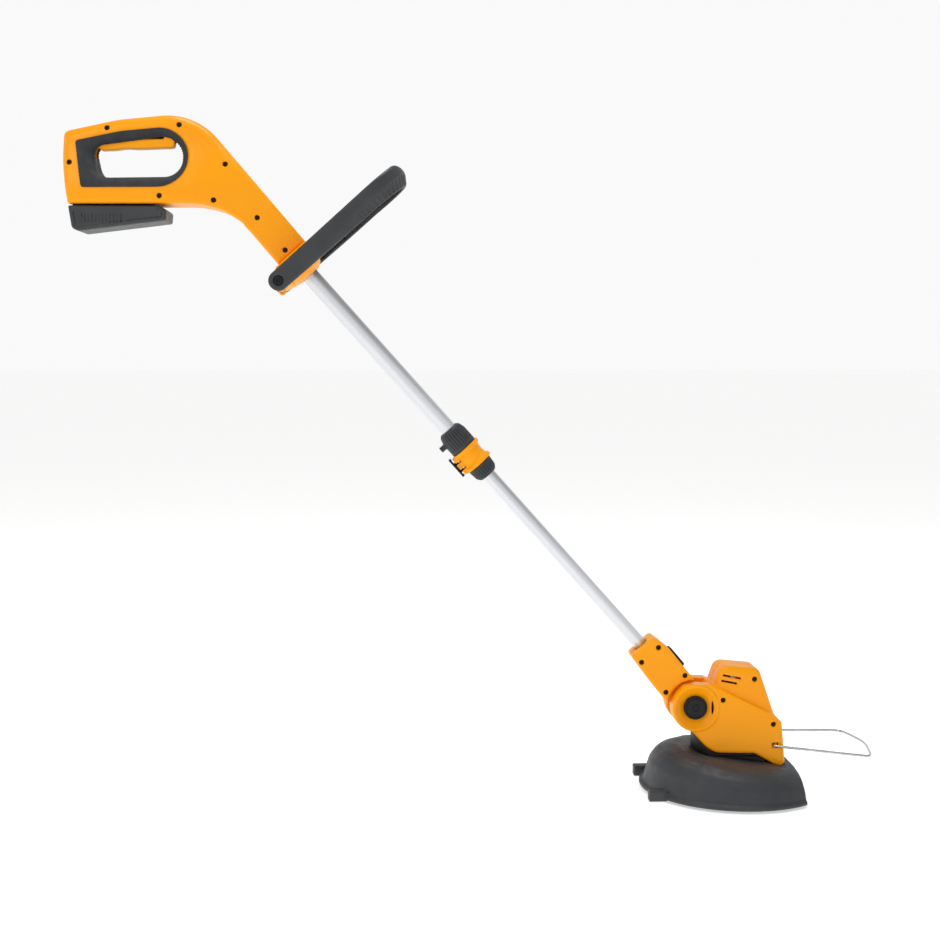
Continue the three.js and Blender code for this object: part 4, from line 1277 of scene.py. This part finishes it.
cup_half = outline_field([
    (8.5, 10.5, 0.4), (30, 10.5, 3), (SPOOL_R - 0.1, 11.6, 2.5), (SPOOL_R - 0.1, 28.4, 0.5),
    (SPOOL_R - 2.2, 28.4, 0.5), (SPOOL_R - 2.2, 13.8, 1.5), (30, 12.8, 3), (8.5, 12.7, 0.4),
])


def spool_housing(x, y, z):
    dx, up = x - GUARD_CENTRE[0], z - FLOOR_Z
    r = np.hypot(dx, y)
    d = cup_half(r, up) + 0.7 * flutes(dx, y, 24, 0.3) * smoothstep(r, SPOOL_R - 1.4, SPOOL_R - 0.6)
    exits = common(np.hypot(y, up - 19.5) - 2.6, -np.abs(dx) + 30)
    eye = common(np.abs(np.hypot(y, up - 19.5) - 3.6) - 0.9, SPOOL_R - 3.4 - np.abs(dx))
    d = blend_join(d, common(eye, np.abs(dx) - SPOOL_R + 0.1), 0.4)
    slots = rows(np.arctan2(y, dx), math.radians(60), 0) * r - 2.2
    slots = common(slots, np.abs(r - 30) - 5.5, up - 15)
    return carve(carve(d, exits, 0.3), slots, 0.4)


moulded(
    "spool_housing_cup", spool_housing, (GUARD_CENTRE[0] - 42, -42, FLOOR_Z + 9.5),
    (GUARD_CENTRE[0] + 42, 42, FLOOR_Z + 29.5), 0.85, "spool", "black_plastic", ("spool_housing",),
    angle=60,
)


def bump_knob(x, y, z):
    dx, up = x - GUARD_CENTRE[0], z - FLOOR_Z
    r = np.hypot(dx, y)
    cone = r - 17.5 - 2.4 * np.clip((up - 1) / 5, 0, 1) + 0.9 * flutes(dx, y, 12, 0.35) * (r > 10)
    d = meet(cone, np.abs(up - 3.5) - 2.5, 1.2)
    rings = common(rows(r, 4.0, 0.35), up - 1.6)
    d = carve(d, common(rings, r - 14), 0.3)
    stem = common(r - 7.4, np.abs(up - 7.8) - 3)
    return either(d, stem)


moulded(
    "bump_knob_cap", bump_knob, (GUARD_CENTRE[0] - 21, -21, FLOOR_Z + 0.4),
    (GUARD_CENTRE[0] + 21, 21, FLOOR_Z + 11.5), 0.6, "bump_knob", "black_plastic", ("bump_knob",), angle=60,
)

# ---- wire guard and spring ----

WIRE_R = 1.6
SPRING_TOP, SPRING_LENGTH = 24.6, 13.4


def smooth_path(corners, count=30):
    """Points through the corners, by centripetal Catmull-Rom."""
    p = [np.array(c, float) for c in corners]
    p = [2 * p[0] - p[1], *p, 2 * p[-1] - p[-2]]
    path = []
    for i in range(1, len(p) - 2):
        knots = [0.0]
        for a, b in zip(p[i - 1 : i + 2], p[i : i + 3]):
            knots.append(knots[-1] + max(np.linalg.norm(b - a), 1e-6) ** 0.5)
        k0, k1, k2, k3 = knots
        steps = max(4, int(count * np.linalg.norm(p[i + 1] - p[i]) / 30))
        for t in np.linspace(k1, k2, steps, endpoint=False):
            a1 = (p[i - 1] * (k1 - t) + p[i] * (t - k0)) / (k1 - k0)
            a2 = (p[i] * (k2 - t) + p[i + 1] * (t - k1)) / (k2 - k1)
            a3 = (p[i + 1] * (k3 - t) + p[i + 2] * (t - k2)) / (k3 - k2)
            b1 = (a1 * (k2 - t) + a2 * (t - k0)) / (k2 - k0)
            b2 = (a2 * (k3 - t) + a3 * (t - k1)) / (k3 - k1)
            path.append((b1 * (k2 - t) + b2 * (t - k1)) / (k2 - k1))
    path.append(p[-2])
    return np.array(path)


def swept_wire(path, radius, sides=20):
    """A round wire along a path, with domed ends."""
    tangent = np.gradient(path, axis=0)
    tangent /= np.linalg.norm(tangent, axis=1)[:, None]
    across = np.cross(tangent[0], (0, 0, 1.0))
    angles = np.linspace(0, 2 * math.pi, sides, endpoint=False)[:, None]
    rings = []
    for p, t in zip(path, tangent):
        across = across - t * (across @ t)
        across /= np.linalg.norm(across)
        rings.append(p + radius * (np.cos(angles) * across + np.sin(angles) * np.cross(t, across)))
    caps = path[0] - tangent[0] * radius * 0.3, path[-1] + tangent[-1] * radius * 0.3
    points = np.vstack([caps[0][None], *rings, caps[1][None]])
    faces = []
    for k in range(len(path) - 1):
        a, b = 1 + k * sides, 1 + (k + 1) * sides
        for i in range(sides):
            j = (i + 1) % sides
            faces.append((a + i, a + j, b + j, b + i))
    last = len(points) - 1
    top = 1 + (len(path) - 1) * sides
    for i in range(sides):
        j = (i + 1) % sides
        faces.append((0, 1 + j, 1 + i))
        faces.append((last, top + i, top + j))
    return points, faces


def wire_guard():
    hx, hz = WIRE_HOLE
    y0 = HEAD_HALF + WIRE_R + 1.6
    near = [
        (hx, -HEAD_HALF + 10, hz), (hx, -y0 + 3, hz), (hx + 1, -y0 + 0.6, hz),
        (hx + 4, -y0 - 0.5, hz - 0.2), (hx + 50, -y0 - 10.5, hz - 3.8), (hx + 108, -y0 - 23, hz - 8),
        (hx + 117, -y0 - 23.5, hz - 8.7), (hx + 121.5, -y0 - 18, hz - 8.8), (hx + 128, -32, hz - 8.5),
    ]
    far = [(x, -y, z) for x, y, z in reversed(near)]
    path = smooth_path([*near, (hx + 132, 0, hz - 8.3), *far])
    points, faces = swept_wire(path, WIRE_R)
    make_object("wire_guard_bow", points, faces, "wire_guard", "bright_steel", ("wire_guard",), angle=60)


wire_guard()


def spool_spring():
    """The knob's return spring: close coils at both ends, open ones between."""
    wire, radius, coils = 0.6, 5.4, 7.5
    low, high = SPRING_TOP - SPRING_LENGTH + wire, SPRING_TOP - wire
    t = np.linspace(0, 1, 240)
    rise = np.clip((t - 0.12) / 0.76, 0, 1)
    angle = t * coils * 2 * math.pi
    x = GUARD_CENTRE[0] + radius * np.cos(angle)
    path = np.column_stack([x, radius * np.sin(angle), FLOOR_Z + low + (high - low) * rise])
    points, faces = swept_wire(path, wire, 10)
    spring = make_object(
        "spool_spring_coil", points, faces, "spool", "bright_steel", ("spool_spring",), angle=60,
    )
    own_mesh(spring)


spool_spring()

# ---- stage and light ----


def stage():
    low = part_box("guard")[0].z
    size = 30.0
    corners = [
        (x, y, low - 0.0005) for x, y in ((-size, -size), (size, -size), (size, size), (-size, size))
    ]
    mesh = bpy.data.meshes.new("floor_sheet")
    mesh.from_pydata(corners, [], [(0, 1, 2, 3)])
    paper = Surface("floor_paper", "FCFCFB", 0.85)
    paper.relief(paper.noise(60, 3), 0.05, 0.3)
    paper.shader.inputs["Emission Color"].default_value = (1, 1, 1, 1)
    paper.shader.inputs["Emission Strength"].default_value = 0.46
    mesh.materials.append(paper.material)
    sheet = bpy.data.objects.new("floor_sheet", mesh)
    bpy.context.scene.collection.objects.link(sheet)


def area_light(name, place, target, size, power, colour=(1, 1, 1)):
    data = bpy.data.lights.new(name, "AREA")
    data.shape = "RECTANGLE"
    data.size, data.size_y = size
    data.energy = power
    data.color = colour
    light = bpy.data.objects.new(name, data)
    light.location = place
    light.rotation_euler = (Vector(place) - Vector(target)).to_track_quat("Z", "Y").to_euler()
    bpy.context.scene.collection.objects.link(light)


def lights():
    world = bpy.data.worlds.new("studio")
    bpy.context.scene.world = world
    world.use_nodes = True
    tree = world.node_tree
    background = tree.nodes["Background"]
    background.inputs["Color"].default_value = (1, 1, 1, 1)
    place = tree.nodes.new("ShaderNodeTexCoord")
    parts = tree.nodes.new("ShaderNodeSeparateXYZ")
    fade = tree.nodes.new("ShaderNodeMapRange")
    for key, value in zip(("From Min", "From Max", "To Min", "To Max"), (0.28, 0.7, 0.95, 0.3)):
        fade.inputs[key].default_value = value
    tree.links.new(place.outputs["Generated"], parts.inputs["Vector"])
    tree.links.new(parts.outputs["Z"], fade.inputs["Value"])
    tree.links.new(fade.outputs["Result"], background.inputs["Strength"])
    middle = (0.42, 0, -0.43)
    area_light("key", (-0.8, -1.35, 1.15), middle, (0.8, 0.6), 8)
    area_light("top", (0.5, 0.2, 1.9), middle, (1.2, 0.6), 26)


stage()
lights()

# ---- what the CAD model still shows ----


def paint_cad_nodes():
    slots = {part["node"]: part["material_slot"] for part in frame["record"]["subparts"]}
    for name, obj in frame["nodes"].items():
        paint = PAINT[slots[name]]
        if not obj.material_slots:
            obj.data.materials.append(paint)
        for held in obj.material_slots:
            held.material = paint


paint_cad_nodes()
